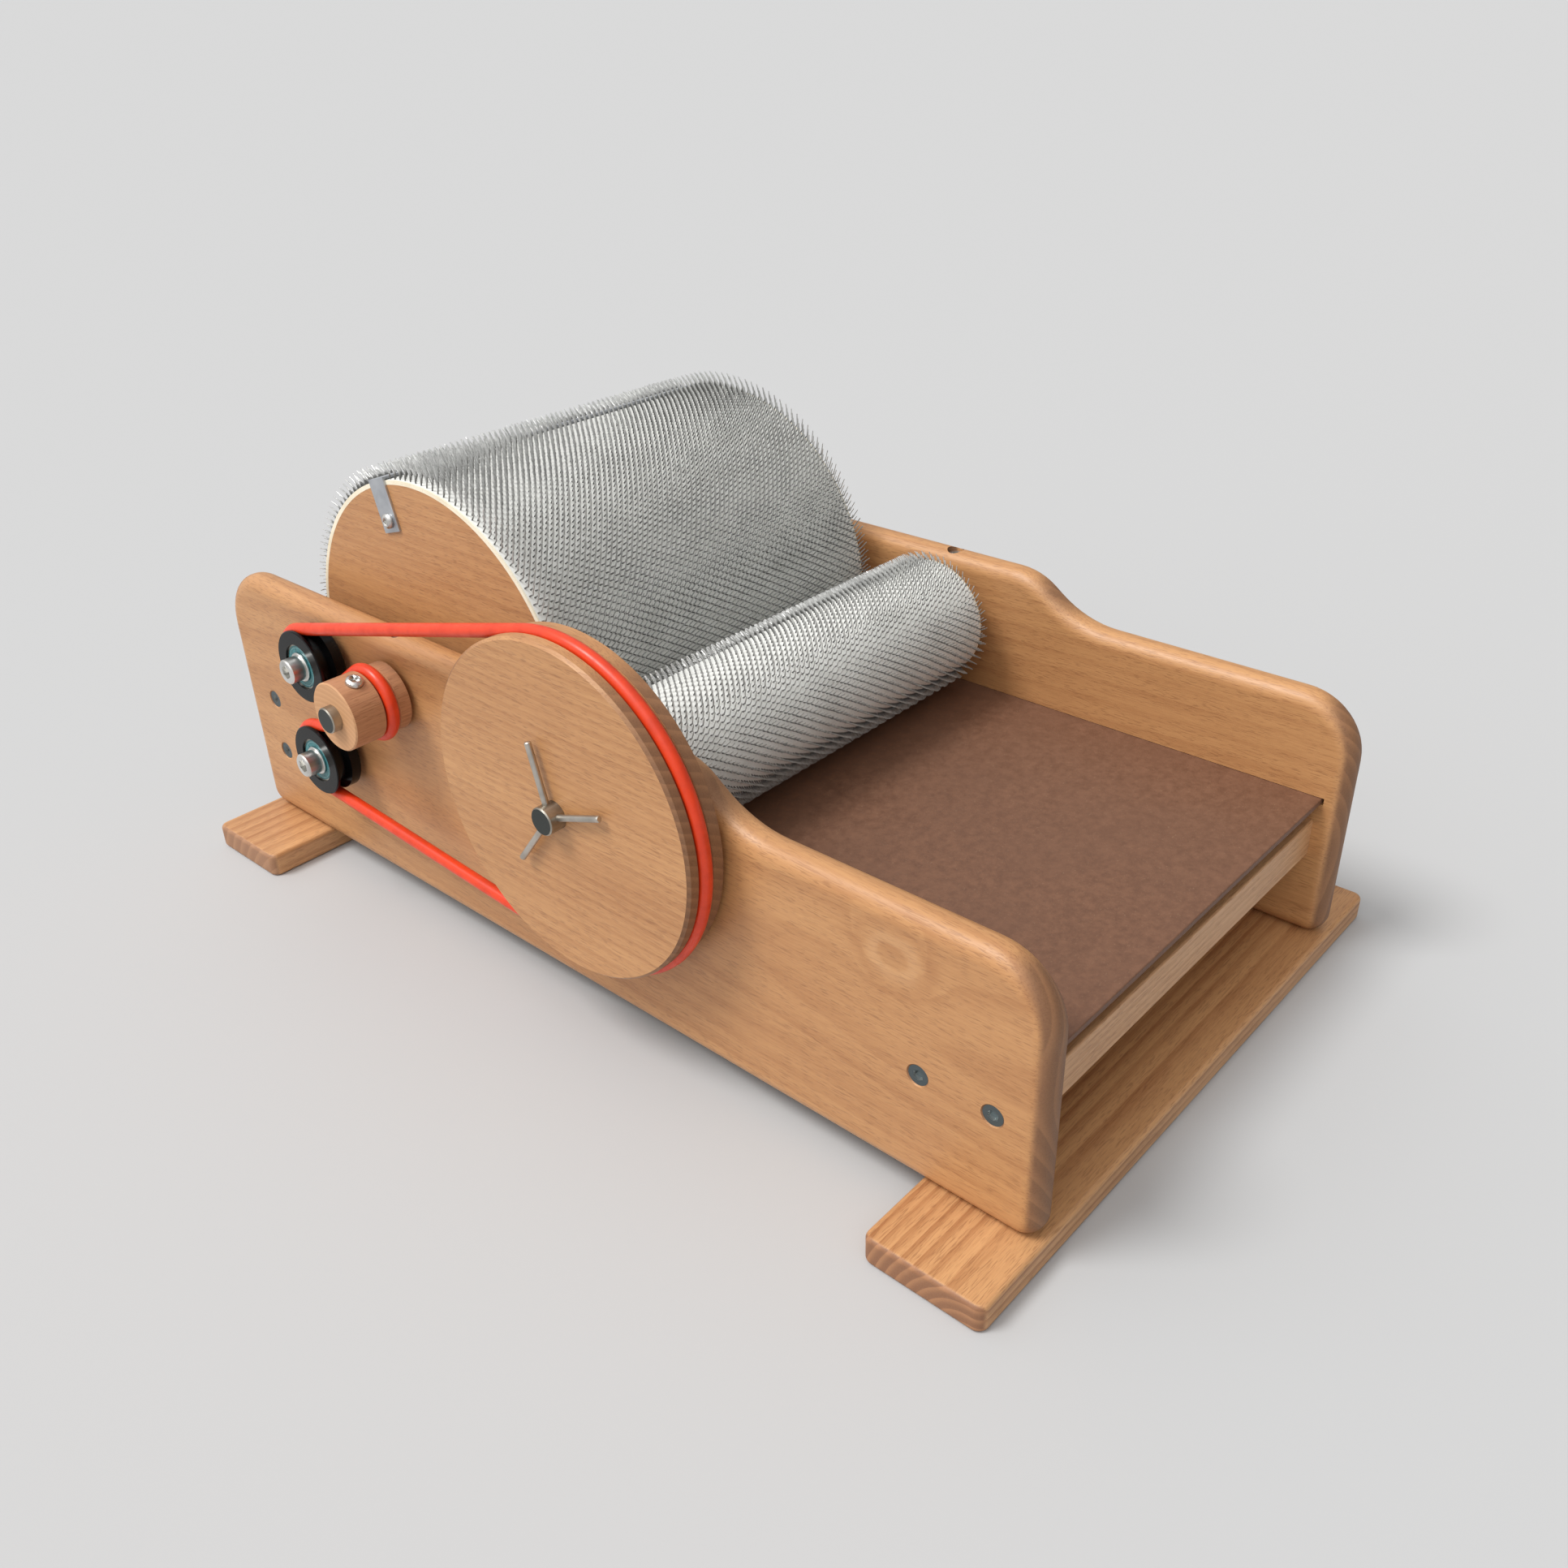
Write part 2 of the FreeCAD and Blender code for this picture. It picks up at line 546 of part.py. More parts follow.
PIN_BORE = 2.05
drum_end = size("drum_half_width")
pin_x = -(drum_end - size("drum_disc_width") * 0.5)
main_axle = axle("main_axle", size("main_axle_left_end"), size("main_axle_right_end"))
cut_round(main_axle, "PinBore", "+Z", PIN_BORE, radius * 2, pin_x, ZERO, -radius)
node("main_axle", place(main_axle, ZERO, main_y, main_z))
licker_axle = axle("licker_in_axle", size("licker_axle_left_end"), size("licker_axle_right_end"))
cut_round(licker_axle, "PinBore", "+Z", PIN_BORE, radius * 2, pin_x, ZERO, -radius)
DRIVER_X, DRIVER_RADIUS, DRIVER_SEAT = 149.2, 1.4, 3.6
DRIVERS = ((75.0, 31.6), (160.0, 31.6), (308.0, 34.0))


def outward(angle):
    """The turn that points a piece's +X away from the axle at an angle from +Y towards +Z."""
    return FreeCAD.Rotation(FreeCAD.Vector(1, 0, 0), angle).multiply(
        FreeCAD.Rotation(FreeCAD.Vector(0, 0, 1), 90))


for count, (angle, far) in enumerate(DRIVERS):
    seat = licker_axle.newObject("PartDesign::SubtractiveCylinder", "DriverSeat%d" % count)
    seat.Radius = DRIVER_RADIUS + 0.05
    seat.Height = 6.0
    tilted = math.radians(angle)
    away = outward(angle).multiply(AIM["+X"])
    place(seat, as_size(-DRIVER_X), as_size(DRIVER_SEAT * math.cos(tilted)),
          as_size(DRIVER_SEAT * math.sin(tilted)), away)
node("licker_in_axle", place(licker_axle, ZERO, licker_y, licker_z))
bushes("main_axle_bushes", main_y, main_z)
bushes("licker_in_bushes", licker_y, licker_z)
collars("main_axle", main_y, main_z)
collars("licker_in", licker_y, licker_z)
drive_pin("main_drum_drive_pin", as_size(40.0), pin_x, main_y, main_z)
drive_pin("licker_in_drive_pin", as_size(20.0), pin_x, licker_y, licker_z)

# ---------------------------------------------------------------- main drum

core = size("drum_core_radius")
strip_turn = FreeCAD.Rotation(FreeCAD.Vector(1, 0, 0), -size("strip_angle").value)
tilt = math.radians(size("strip_angle").value)
strip_y = size("strip_screw_radius") * math.sin(tilt)
strip_z = size("strip_screw_radius") * math.cos(tilt)
STRIP_SCREW_RADIUS, STRIP_SCREW_DEPTH = 1.5, 12.0


def drum_disc(label, side):
    """A beech end disc, with the cross pin's hole on the belt side and a seat for the strip screw."""
    inside = drum_end - size("drum_disc_width")
    body = turned(label, [(inside, bore), (inside, core), (drum_end, core), (drum_end, bore)])
    cut_round(body, "StripScrewBore", "-X", STRIP_SCREW_RADIUS + 0.05, STRIP_SCREW_DEPTH + 1.0,
              drum_end, -strip_y if side < 0 else strip_y, strip_z)
    if side < 0:
        cut_round(body, "PinBore", "+Z", PIN_BORE, as_size(81.0), -pin_x, ZERO, as_size(-40.5))
    turn = FreeCAD.Rotation(FreeCAD.Vector(0, 0, 1), 180) if side < 0 else None
    return node(label, place(body, ZERO, main_y, main_z, turn))


drum_disc("main_drum_left_disc", -1)
drum_disc("main_drum_right_disc", 1)

shell_end = drum_end - size("drum_disc_width")
drum_shell = turned("main_drum_shell", [(-shell_end, core - size("drum_shell_wall")), (-shell_end, core),
                                        (shell_end, core), (shell_end, core - size("drum_shell_wall"))])
node("main_drum_shell", place(drum_shell, ZERO, main_y, main_z))


def cloth(label, inside, thick, y, z):
    """The flexible backing that the wire teeth are set in."""
    low = inside + size("fixed_gap")
    body = turned(label, [(-drum_end, low), (-drum_end, inside + thick), (drum_end, inside + thick),
                          (drum_end, low)])
    return node(label, place(body, ZERO, y, z))


def teeth(label, inside, reach, y, z, angle=360.0, turn=None):
    """The field of wire teeth, as the plain sleeve that their tips sweep."""
    end = drum_end - size("tooth_border")
    low = inside + size("fixed_gap")
    body = new_body(label)
    revolve(body, [(-end, low), (-end, inside + reach), (end, inside + reach), (end, low)], angle)
    return node(label, place(body, ZERO, y, z, turn))


drum_skin = core + size("drum_cloth")
cloth("main_drum_foundation", core, size("drum_cloth"), main_y, main_z)
seam = size("teeth_seam_gap")
first_row = 90.0 - size("strip_angle").value + seam.value * 0.5
teeth("main_drum_teeth", drum_skin, size("drum_teeth"), main_y, main_z, 360.0 - seam,
      FreeCAD.Rotation(FreeCAD.Vector(1, 0, 0), first_row))

strip = new_body("seam_strip")
strip_sketch = new_sketch(strip, "XZ_Plane", "Section")
strip_low, strip_thick = drum_skin + 0.3, size("strip_thickness")
leg = drum_end + 0.05
polygon(strip_sketch, [(-leg - strip_thick, strip_low + strip_thick),
                       (-leg - strip_thick, size("strip_tab_end")),
                       (-leg, size("strip_tab_end")), (-leg, strip_low), (leg, strip_low),
                       (leg, size("strip_tab_end")), (leg + strip_thick, size("strip_tab_end")),
                       (leg + strip_thick, strip_low + strip_thick)])
pad(strip, strip_sketch, size("strip_width"), True, "Strip")
for side, aim in ((-1, "+X"), (1, "-X")):
    cut_round(strip, "ScrewHole%d" % (side + 1), aim, STRIP_SCREW_RADIUS + 0.1, as_size(2.0),
              (leg + strip_thick + 0.5) * side, ZERO, size("strip_screw_radius"))
node("seam_strip", place(strip, ZERO, main_y, main_z, strip_turn))

strip_screws = []
for side, turn in ((-1, None), (1, FreeCAD.Rotation(FreeCAD.Vector(0, 0, 1), 180))):
    screw = turned("strip_screw_%d" % (side + 1),
                   [(-2.0, 0), (-2.0, 2.4), (-1.2, 3.3), (0, 3.5), (0, STRIP_SCREW_RADIUS),
                    (STRIP_SCREW_DEPTH, STRIP_SCREW_RADIUS), (STRIP_SCREW_DEPTH, 0)])
    strip_screws.append(place(screw, (leg + strip_thick + 0.02) * side, main_y + strip_y,
                              main_z + strip_z, turn))
group("seam_strip_screws", strip_screws)

# ---------------------------------------------------------------- licker-in

roller_core = size("licker_core_radius")
roller = turned("licker_in_roller", [(-drum_end, bore), (-drum_end, roller_core), (drum_end, roller_core),
                                     (drum_end, bore)])
cut_round(roller, "PinBore", "+Z", PIN_BORE, as_size(41.0), pin_x, ZERO, as_size(-20.5))
node("licker_in_roller", place(roller, ZERO, licker_y, licker_z))
cloth("licker_in_foundation", roller_core, size("licker_cloth"), licker_y, licker_z)
teeth("licker_in_teeth", roller_core + size("licker_cloth"), size("licker_teeth"), licker_y, licker_z)

# ---------------------------------------------------------------- belt drive

belt_x = -size("belt_plane")
mouth, floor, depth = size("groove_mouth"), size("groove_floor"), size("groove_depth")


def grooved(label, face, back, rim, hole, bevel):
    """A wooden belt pulley: a V groove for the belt and a bevel on its outer face."""
    return turned(label, [(-face, hole), (-face, rim - bevel), (-face + bevel, rim), (belt_x - mouth, rim),
                          (belt_x - floor, rim - depth), (belt_x + floor, rim - depth),
                          (belt_x + mouth, rim), (-back, rim), (-back, hole)])


disc_face = size("belt_plane") + size("disc_width") * 0.5
disc_back = size("belt_plane") - size("disc_width") * 0.5
disc_pulley = grooved("disc_pulley", disc_face, disc_back, size("disc_radius"), bore, size("disc_chamfer"))
node("disc_pulley", place(disc_pulley, ZERO, licker_y, licker_z))

drivers = []
for count, (angle, far) in enumerate(DRIVERS):
    near = DRIVER_SEAT + 0.1
    pin = turned("driver_%d" % count, [(near, 0), (near, DRIVER_RADIUS), (far - 0.4, DRIVER_RADIUS),
                                       (far, DRIVER_RADIUS - 0.4), (far, 0)])
    drivers.append(place(pin, as_size(-DRIVER_X), licker_y, licker_z, outward(angle)))
group("driver_pins", drivers)

small_rim = size("small_pulley_radius")
small_pulley = grooved("small_drive_pulley", size("small_pulley_face"), size("small_pulley_back"),
                       small_rim, bore, as_size(0.6))
SET_SCREW_X, SET_SCREW_ANGLE = 147.0, 20.0
set_turn = FreeCAD.Rotation(FreeCAD.Vector(1, 0, 0), SET_SCREW_ANGLE)
set_bore = small_pulley.newObject("PartDesign::SubtractiveCylinder", "SetScrewBore")
set_bore.Radius = 2.05
set_bore.Height = 30.0
place(set_bore, as_size(-SET_SCREW_X), ZERO, ZERO, set_turn)
node("small_drive_pulley", place(small_pulley, ZERO, main_y, main_z))
set_screw = turned("small_pulley_screw",
                   [(-2.2, 0), (-2.2, 2.6), (-1.4, 3.7), (0, 4.0), (0, 2.0), (9.8, 2.0), (9.8, 0)])
set_angle = math.radians(SET_SCREW_ANGLE)
head_seat = small_rim + 0.05
node("small_pulley_screw", place(set_screw, as_size(-SET_SCREW_X), main_y - head_seat * math.sin(set_angle),
                                 main_z + head_seat * math.cos(set_angle),
                                 set_turn.multiply(FreeCAD.Rotation(FreeCAD.Vector(0, 1, 0), 90))))

idler_rim, idler_bore = size("idler_radius"), size("idler_bore")
idler_mouth, idler_floor, idler_depth = 3.3, 2.0, 4.2
step = size("bearing_step")
bearing_face = size("idler_face") - step
bearing_back = bearing_face - size("bearing_width")
bearing_ring = size("bearing_inner")


def idler(label, y, z):
    """A black idler pulley with a sealed ball bearing pressed into its front."""
    pulley = turned(label + "_pulley",
                    [(-size("idler_face"), idler_bore), (-size("idler_face"), idler_rim - 0.4),
                     (-size("idler_face") + 0.4, idler_rim), (belt_x - idler_mouth, idler_rim),
                     (belt_x - idler_floor, idler_rim - idler_depth),
                     (belt_x + idler_floor, idler_rim - idler_depth), (belt_x + idler_mouth, idler_rim),
                     (-size("idler_back") - 0.6, idler_rim), (-size("idler_back"), idler_rim - 0.6),
                     (-size("idler_back"), bearing_ring + 1.6), (-bearing_back, bearing_ring + 1.6),
                     (-bearing_back, idler_bore)])
    node(label + "_pulley", place(pulley, ZERO, y, z))
    hole = bearing_ring + size("running_gap")
    bearing = turned(label + "_bearing",
                     [(-bearing_face, hole), (-bearing_face, idler_bore - size("fixed_gap")),
                      (-bearing_back, idler_bore - size("fixed_gap")), (-bearing_back, hole)])
    node(label + "_bearing", place(bearing, ZERO, y, z))


idler("upper_idler", *upper_idler)
idler("lower_idler", *lower_idler)

IDLERS = {"upper": upper_idler, "lower": lower_idler}
bolt_radius = size("bearing_bore")
inner_bore = bolt_radius + size("fixed_gap")
HEAD_RADIUS, HEAD_HEIGHT, WASHER_RADIUS, WASHER_THICK = 5.9, 7.0, 7.0, 1.2
washer_face = bearing_face + WASHER_THICK
HEXAGON = [(as_size(NUT_RADIUS * math.cos(math.radians(60 * turn + 30))),
            as_size(NUT_RADIUS * math.sin(math.radians(60 * turn + 30)))) for turn in range(6)]
inner_rings, spacers, washers, bolts, nuts = [], [], [], [], []
for name, (y, z) in IDLERS.items():
    ring = turned("idler_ring_" + name, [(-bearing_face, inner_bore), (-bearing_face, bearing_ring),
                                         (-bearing_back, bearing_ring), (-bearing_back, inner_bore)])
    inner_rings.append(place(ring, ZERO, y, z))
    spacer = turned("idler_spacer_" + name, [(-bearing_back, inner_bore), (-bearing_back, bearing_ring),
                                             (-outer - 0.02, bearing_ring), (-outer - 0.02, inner_bore)])
    spacers.append(place(spacer, ZERO, y, z))
    washer = turned("idler_washer_" + name, [(-washer_face, inner_bore), (-washer_face, WASHER_RADIUS - 0.3),
                                             (-washer_face + 0.3, WASHER_RADIUS),
                                             (-bearing_face - 0.3, WASHER_RADIUS),
                                             (-bearing_face - 0.3, bearing_ring - 0.3),
                                             (-bearing_face, bearing_ring - 0.3), (-bearing_face, inner_bore)])
    washers.append(place(washer, ZERO, y, z))
    head = washer_face + HEAD_HEIGHT
    nut_end = inner + 1.0
    bolt = turned("idler_bolt_" + name, [(-head, 0), (-head, HEAD_RADIUS - 0.6), (-head + 0.6, HEAD_RADIUS),
                                         (-washer_face, HEAD_RADIUS), (-washer_face, bolt_radius),
                                         (-nut_end, bolt_radius), (-nut_end, 0)])
    cut_hex(bolt, "Socket", "+X", 3.3, 3.2, -head)
    bolts.append(place(bolt, ZERO, y, z))
    nut = new_body("idler_nut_" + name)
    nut_sketch = new_sketch(nut, "YZ_Plane", "Hexagon", -inner - NUT_HEIGHT + 0.2)
    polygon(nut_sketch, HEXAGON)
    pad(nut, nut_sketch, as_size(NUT_HEIGHT - 0.4))
    cut_round(nut, "Thread", "+X", inner_bore, as_size(NUT_HEIGHT), -inner - NUT_HEIGHT)
    nuts.append(place(nut, ZERO, y, z))
group("idler_inner_rings", inner_rings)
group("idler_spacers", spacers)
group("idler_washers", washers)
group("idler_bolts", bolts)
group("idler_nuts", nuts)

# The belt leaves the top of the disc, goes round the back of the upper idler, the front of the small
# pulley and the back of the lower idler, and returns to the bottom of the disc. So the two rollers
# turn opposite ways. Each turn is (middle y, middle z, radius of the belt's own line, sense), where
# sense is +1 for anticlockwise seen from +X.
sink = size("belt_sink").value
TURNS = [
    (licker_y.value, licker_z.value, size("disc_radius").value - sink, -1),
    (upper_idler[0].value, upper_idler[1].value, idler_rim.value - sink, -1),
    (main_y.value, main_z.value, small_rim.value - sink, 1),
    (lower_idler[0].value, lower_idler[1].value, idler_rim.value - sink, -1),
]


def tangent(first, second):
    """The straight run from one turn to the next: where it leaves the first and meets the second."""
    y_gap, z_gap = second[0] - first[0], second[1] - first[1]
    span = math.hypot(y_gap, z_gap)
    along = math.atan2(z_gap, y_gap)
    lean = math.asin((first[3] * first[2] - second[3] * second[2]) / span)
    normal = along - math.pi / 2 + lean
    points = []
    for middle_y, middle_z, reach, sense in (first, second):
        points.append((middle_y + sense * reach * math.cos(normal),
                       middle_z + sense * reach * math.sin(normal)))
    return points


def belt_point(point):
    return FreeCAD.Vector(belt_x.value, point[0], point[1])


runs = [tangent(TURNS[index], TURNS[(index + 1) % len(TURNS)]) for index in range(len(TURNS))]
path = []
for index, turn in enumerate(TURNS):
    arrive, leave = runs[index - 1][1], runs[index][0]
    begin = math.atan2(arrive[1] - turn[1], arrive[0] - turn[0])
    finish = math.atan2(leave[1] - turn[1], leave[0] - turn[0])
    sweep = (finish - begin) * turn[3] % (2 * math.pi)
    halfway = begin + turn[3] * sweep / 2
    middle = (turn[0] + turn[2] * math.cos(halfway), turn[1] + turn[2] * math.sin(halfway))
    path.append(Part.Arc(belt_point(arrive), belt_point(middle), belt_point(leave)).toShape())
    path.append(Part.LineSegment(belt_point(leave), belt_point(runs[index][1])).toShape())
    print("belt turn %d: radius %.1f mm, wraps %.0f degrees" % (index, turn[2], math.degrees(sweep)))
belt_path = Part.Wire(path)
start = path[1].Vertexes[0].Point
direction = path[1].Vertexes[1].Point.sub(start)
section = Part.Wire(Part.makeCircle(size("belt_radius").value, start, direction))
belt_shape = belt_path.makePipeShell([section], True, False)
if belt_shape.Volume < 0:
    belt_shape.reverse()
expected = math.pi * size("belt_radius").value ** 2 * belt_path.Length
print("belt line %.1f mm long, volume %.0f of %.0f cubic mm" % (belt_path.Length, belt_shape.Volume, expected))
belt = doc.addObject("Part::Feature", "drive_belt")
belt.Shape = belt_shape
node("drive_belt", belt)

# ---------------------------------------------------------------- crank

LOCKNUT_HEIGHT, HUB_OVERLAP = 6.0, 0.5
hub_start, arm_start = size("crank_hub_start"), size("crank_arm_start")
reach = size("crank_length")
half_width = size("crank_arm_width") * 0.5

crank = new_body("crank_arm")
revolve(crank, [(hub_start, bore), (hub_start, size("crank_hub_radius")), (arm_start, size("crank_hub_radius")),
                (arm_start, bore)], name="Hub")
arm_sketch = new_sketch(crank, "YZ_Plane", "ArmOutline", arm_start - HUB_OVERLAP)
for middle in (ZERO, -reach):
    round_end = Part.Circle(FreeCAD.Vector(0, middle.value, 0), FreeCAD.Vector(0, 0, 1), half_width.value)
    begin = 0 if middle is ZERO else math.pi
    arm_sketch.addGeometry(Part.ArcOfCircle(round_end, begin, begin + math.pi), False)
for side in (1, -1):
    ends = [FreeCAD.Vector(side * half_width.value, height, 0) for height in (0, -reach.value)]
    arm_sketch.addGeometry(Part.LineSegment(*(ends if side < 0 else ends[::-1])), False)
for joint in ((0, 2, 3, 1), (3, 2, 1, 1), (1, 2, 2, 1), (2, 2, 0, 1)):
    arm_sketch.addConstraint(Sketcher.Constraint("Tangent", *joint))
arm_sketch.addConstraint(Sketcher.Constraint("Coincident", 0, 3, -1, 1))
arm_sketch.addConstraint(Sketcher.Constraint("PointOnObject", 1, 3, -2))
for kind, picks, amount in (("DistanceY", (1, 3, -1, 1), reach), ("Radius", (0,), half_width)):
    index = arm_sketch.addConstraint(Sketcher.Constraint(kind, *picks, amount.value))
    arm_sketch.setExpression("Constraints[%d]" % index, amount.text)
pad(crank, arm_sketch, size("crank_arm_thickness") + HUB_OVERLAP, name="Arm")
spindle_radius = size("spindle_radius")
cut_round(crank, "AxleBore", "+X", bore, as_size(30.0), hub_start - 1.0)
cut_round(crank, "SpindleBore", "+X", spindle_radius + size("fixed_gap"), as_size(20.0), arm_start - 5.0,
          ZERO, -reach)
cut_round(crank, "GrubBore", "+Z", GRUB_BORE, as_size(14.0), hub_start + 5.0)
node("crank_arm", place(crank, ZERO, main_y, main_z))
hub_grub = turned("crank_hub_screw", [(0, 0), (0, GRUB_RADIUS), (5.7, GRUB_RADIUS), (5.7, 0)])
cut_hex(hub_grub, "Socket", "+X", 1.15, 1.8)
node("crank_hub_screw", place(hub_grub, hub_start + 5.0, main_y, main_z + size("crank_hub_radius") - 0.1,
                              FreeCAD.Rotation(FreeCAD.Vector(0, 1, 0), 90)))

handle_start = size("handle_start")
handle_end = handle_start + size("handle_length")
handle_bore = spindle_radius + size("running_gap")
SPINDLE_HEAD, HEAD_SINK = 6.5, 5.0
grip = size("handle_radius")
handle = turned("crank_handle",
                [(handle_start, handle_bore), (handle_start, grip - 4.5), (handle_start + 2.0, grip - 3.2),
                 (handle_start + 14.0, grip - 2.2), (handle_start + 34.0, grip - 0.4),
                 (handle_start + 50.0, grip), (handle_start + 66.0, grip - 0.6),
                 (handle_end - 7.0, grip - 2.6), (handle_end - 2.0, grip - 5.0), (handle_end, grip - 6.8),
                 (handle_end, SPINDLE_HEAD + 0.4), (handle_end - HEAD_SINK, SPINDLE_HEAD + 0.4),
                 (handle_end - HEAD_SINK, handle_bore)])
node("crank_handle", place(handle, ZERO, main_y, main_z - reach))

nut_start = arm_start - HUB_OVERLAP - LOCKNUT_HEIGHT - 0.05
spindle = turned("crank_spindle",
                 [(nut_start - 1.0, 0), (nut_start - 1.0, spindle_radius),
                  (handle_end - HEAD_SINK + 0.3, spindle_radius), (handle_end - HEAD_SINK + 0.3, SPINDLE_HEAD),
                  (handle_end - 0.8, SPINDLE_HEAD), (handle_end - 0.3, SPINDLE_HEAD - 0.6),
                  (handle_end - 0.3, 0)])
cut_hex(spindle, "Socket", "-X", 2.9, 2.6, handle_end - 0.3)
node("crank_spindle", place(spindle, ZERO, main_y, main_z - reach))
locknut = new_body("crank_spindle_nut")
locknut_sketch = new_sketch(locknut, "YZ_Plane", "Hexagon", nut_start)
polygon(locknut_sketch, HEXAGON)
pad(locknut, locknut_sketch, as_size(LOCKNUT_HEIGHT))
cut_round(locknut, "Thread", "+X", spindle_radius + size("fixed_gap"), as_size(LOCKNUT_HEIGHT + 2.0),
          nut_start - 1.0)
node("crank_spindle_nut", place(locknut, ZERO, main_y, main_z - reach))

# ---------------------------------------------------------------- check and write

doc.recompute()
faults = []
for thing in doc.Objects:
    if "Invalid" in thing.State or "Error" in thing.State:
        faults.append("%s: %s" % (thing.Label, thing.State))
for label, thing in nodes.items():
    shape = thing.Shape
    if shape.isNull() or not shape.isValid() or not shape.Solids:
        faults.append("%s: empty or not valid" % label)
if faults:
    raise RuntimeError("; ".join(faults))

os.makedirs("parts", exist_ok=True)
for label, thing in nodes.items():
    thing.Shape.exportStep("parts/%s.step" % label)
    box = thing.Shape.BoundBox
    print("%-26s %2d solid(s) %10.0f mm3  x %7.1f %7.1f  y %7.1f %7.1f  z %7.1f %7.1f" % (
        label, len(thing.Shape.Solids), thing.Shape.Volume, box.XMin, box.XMax, box.YMin, box.YMax,
        box.ZMin, box.ZMax))
print("%d nodes" % len(nodes))
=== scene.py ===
# %% [markdown]
# A hand-cranked drum carder in Blender. The imported model already holds every board, axle and pulley at
# its real size, so this lesson adds what the eye looks for: oiled beech with its rings and flecks, two
# rollers full of wire teeth, a bright round belt, sealed bearings and bright screws.
# The model is imported first, and each node's placing is moved into its mesh.

import math

import bpy
from mathutils import Matrix, Vector


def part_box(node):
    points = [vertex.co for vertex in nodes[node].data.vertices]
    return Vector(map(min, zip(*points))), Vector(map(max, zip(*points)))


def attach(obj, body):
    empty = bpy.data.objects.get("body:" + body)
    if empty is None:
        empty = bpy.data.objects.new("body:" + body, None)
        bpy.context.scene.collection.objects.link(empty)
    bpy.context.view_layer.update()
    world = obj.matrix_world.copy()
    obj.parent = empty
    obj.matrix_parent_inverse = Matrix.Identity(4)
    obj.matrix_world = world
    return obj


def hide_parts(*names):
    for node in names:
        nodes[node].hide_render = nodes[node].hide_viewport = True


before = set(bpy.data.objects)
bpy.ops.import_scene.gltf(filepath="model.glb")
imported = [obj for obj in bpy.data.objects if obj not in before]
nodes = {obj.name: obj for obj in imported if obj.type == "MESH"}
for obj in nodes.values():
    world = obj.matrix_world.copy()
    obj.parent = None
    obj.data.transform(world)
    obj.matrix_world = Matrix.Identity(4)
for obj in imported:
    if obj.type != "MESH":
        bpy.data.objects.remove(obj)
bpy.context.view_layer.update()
MM = 0.001

# %% [markdown]
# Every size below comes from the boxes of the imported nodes. A turned piece's box gives its axis and
# its radius: the middle of the box across the axle, and half the box's height.


# %% Axes and radii of the turned pieces
def turned_size(name):
    """Axis (y, z), radius and the two ends along X of a turned node."""
    low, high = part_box(name)
    axis = ((low[1] + high[1]) / 2, (low[2] + high[2]) / 2)
    return axis, (high[2] - low[2]) / 2, (low[0], high[0])


drum_axis, drum_skin, drum_ends = turned_size("main_drum_foundation")
drum_tips = turned_size("main_drum_teeth")[1]
licker_axis, licker_skin, licker_ends = turned_size("licker_in_foundation")
licker_tips = turned_size("licker_in_teeth")[1]
print("drum radius over the teeth %.1f mm, licker-in %.1f mm" % (drum_tips / MM, licker_tips / MM))

# %% [markdown]
# The camera stands to the left of the tray end, a little above, and looks across the belt side to the
# drum. It's placed by its two angles and a slight roll, so the same numbers can be read off a tripod.

# %% Camera
CAMERA_PLACE = Vector((-0.43689, -0.41484, 0.40289))
CAMERA_TURN, CAMERA_LIFT, CAMERA_ROLL = (math.radians(angle) for angle in (-47.84, 30.067, -1.559))
back = Vector((math.sin(CAMERA_TURN) * math.cos(CAMERA_LIFT), -math.cos(CAMERA_TURN) * math.cos(CAMERA_LIFT),
               math.sin(CAMERA_LIFT)))
level = back.cross(Vector((0, 0, 1))).normalized() * -1
upright = back.cross(level)
right = level * math.cos(CAMERA_ROLL) + upright * math.sin(CAMERA_ROLL)
above = upright * math.cos(CAMERA_ROLL) - level * math.sin(CAMERA_ROLL)
lens = bpy.data.cameras.new("camera")
lens.lens = 32.69
lens.sensor_width = 36.0
lens.clip_start = 0.01
camera = bpy.data.objects.new("camera", lens)
camera.matrix_world = Matrix.Translation(CAMERA_PLACE) @ Matrix((right, above, back)).transposed().to_4x4()
bpy.context.scene.collection.objects.link(camera)
bpy.context.scene.camera = camera
print("camera looks along", tuple(round(part, 3) for part in -back))

# %% [markdown]
# The light is a plain product studio. A soft sun stands for the big lamp over the left shoulder: it has
# no fall-off, so the floor stays one even grey. The surround is a dome that's brightest overhead, with
# one wide panel that gives the steel and the black plastic something to mirror. The Standard view
# keeps the belt's orange strong.

# %% Light and floor
sun = bpy.data.lights.new("key", "SUN")
sun.energy = 2.05
sun.angle = math.radians(22)
lamp = bpy.data.objects.new("key", sun)
lamp.rotation_euler = Vector((0.55, -0.34, -1.0)).to_track_quat("-Z", "Y").to_euler()
bpy.context.scene.collection.objects.link(lamp)


# Each light of the dome: where it lies, the cosines where it starts and is full, and its brightness.
DOME_LIGHTS = (((-0.50, 0.38, 0.78), -0.6, 1.0, 0.74), ((-0.55, -0.25, 0.80), 0.82, 0.94, 0.9))
DOME_LEVEL = 0.12


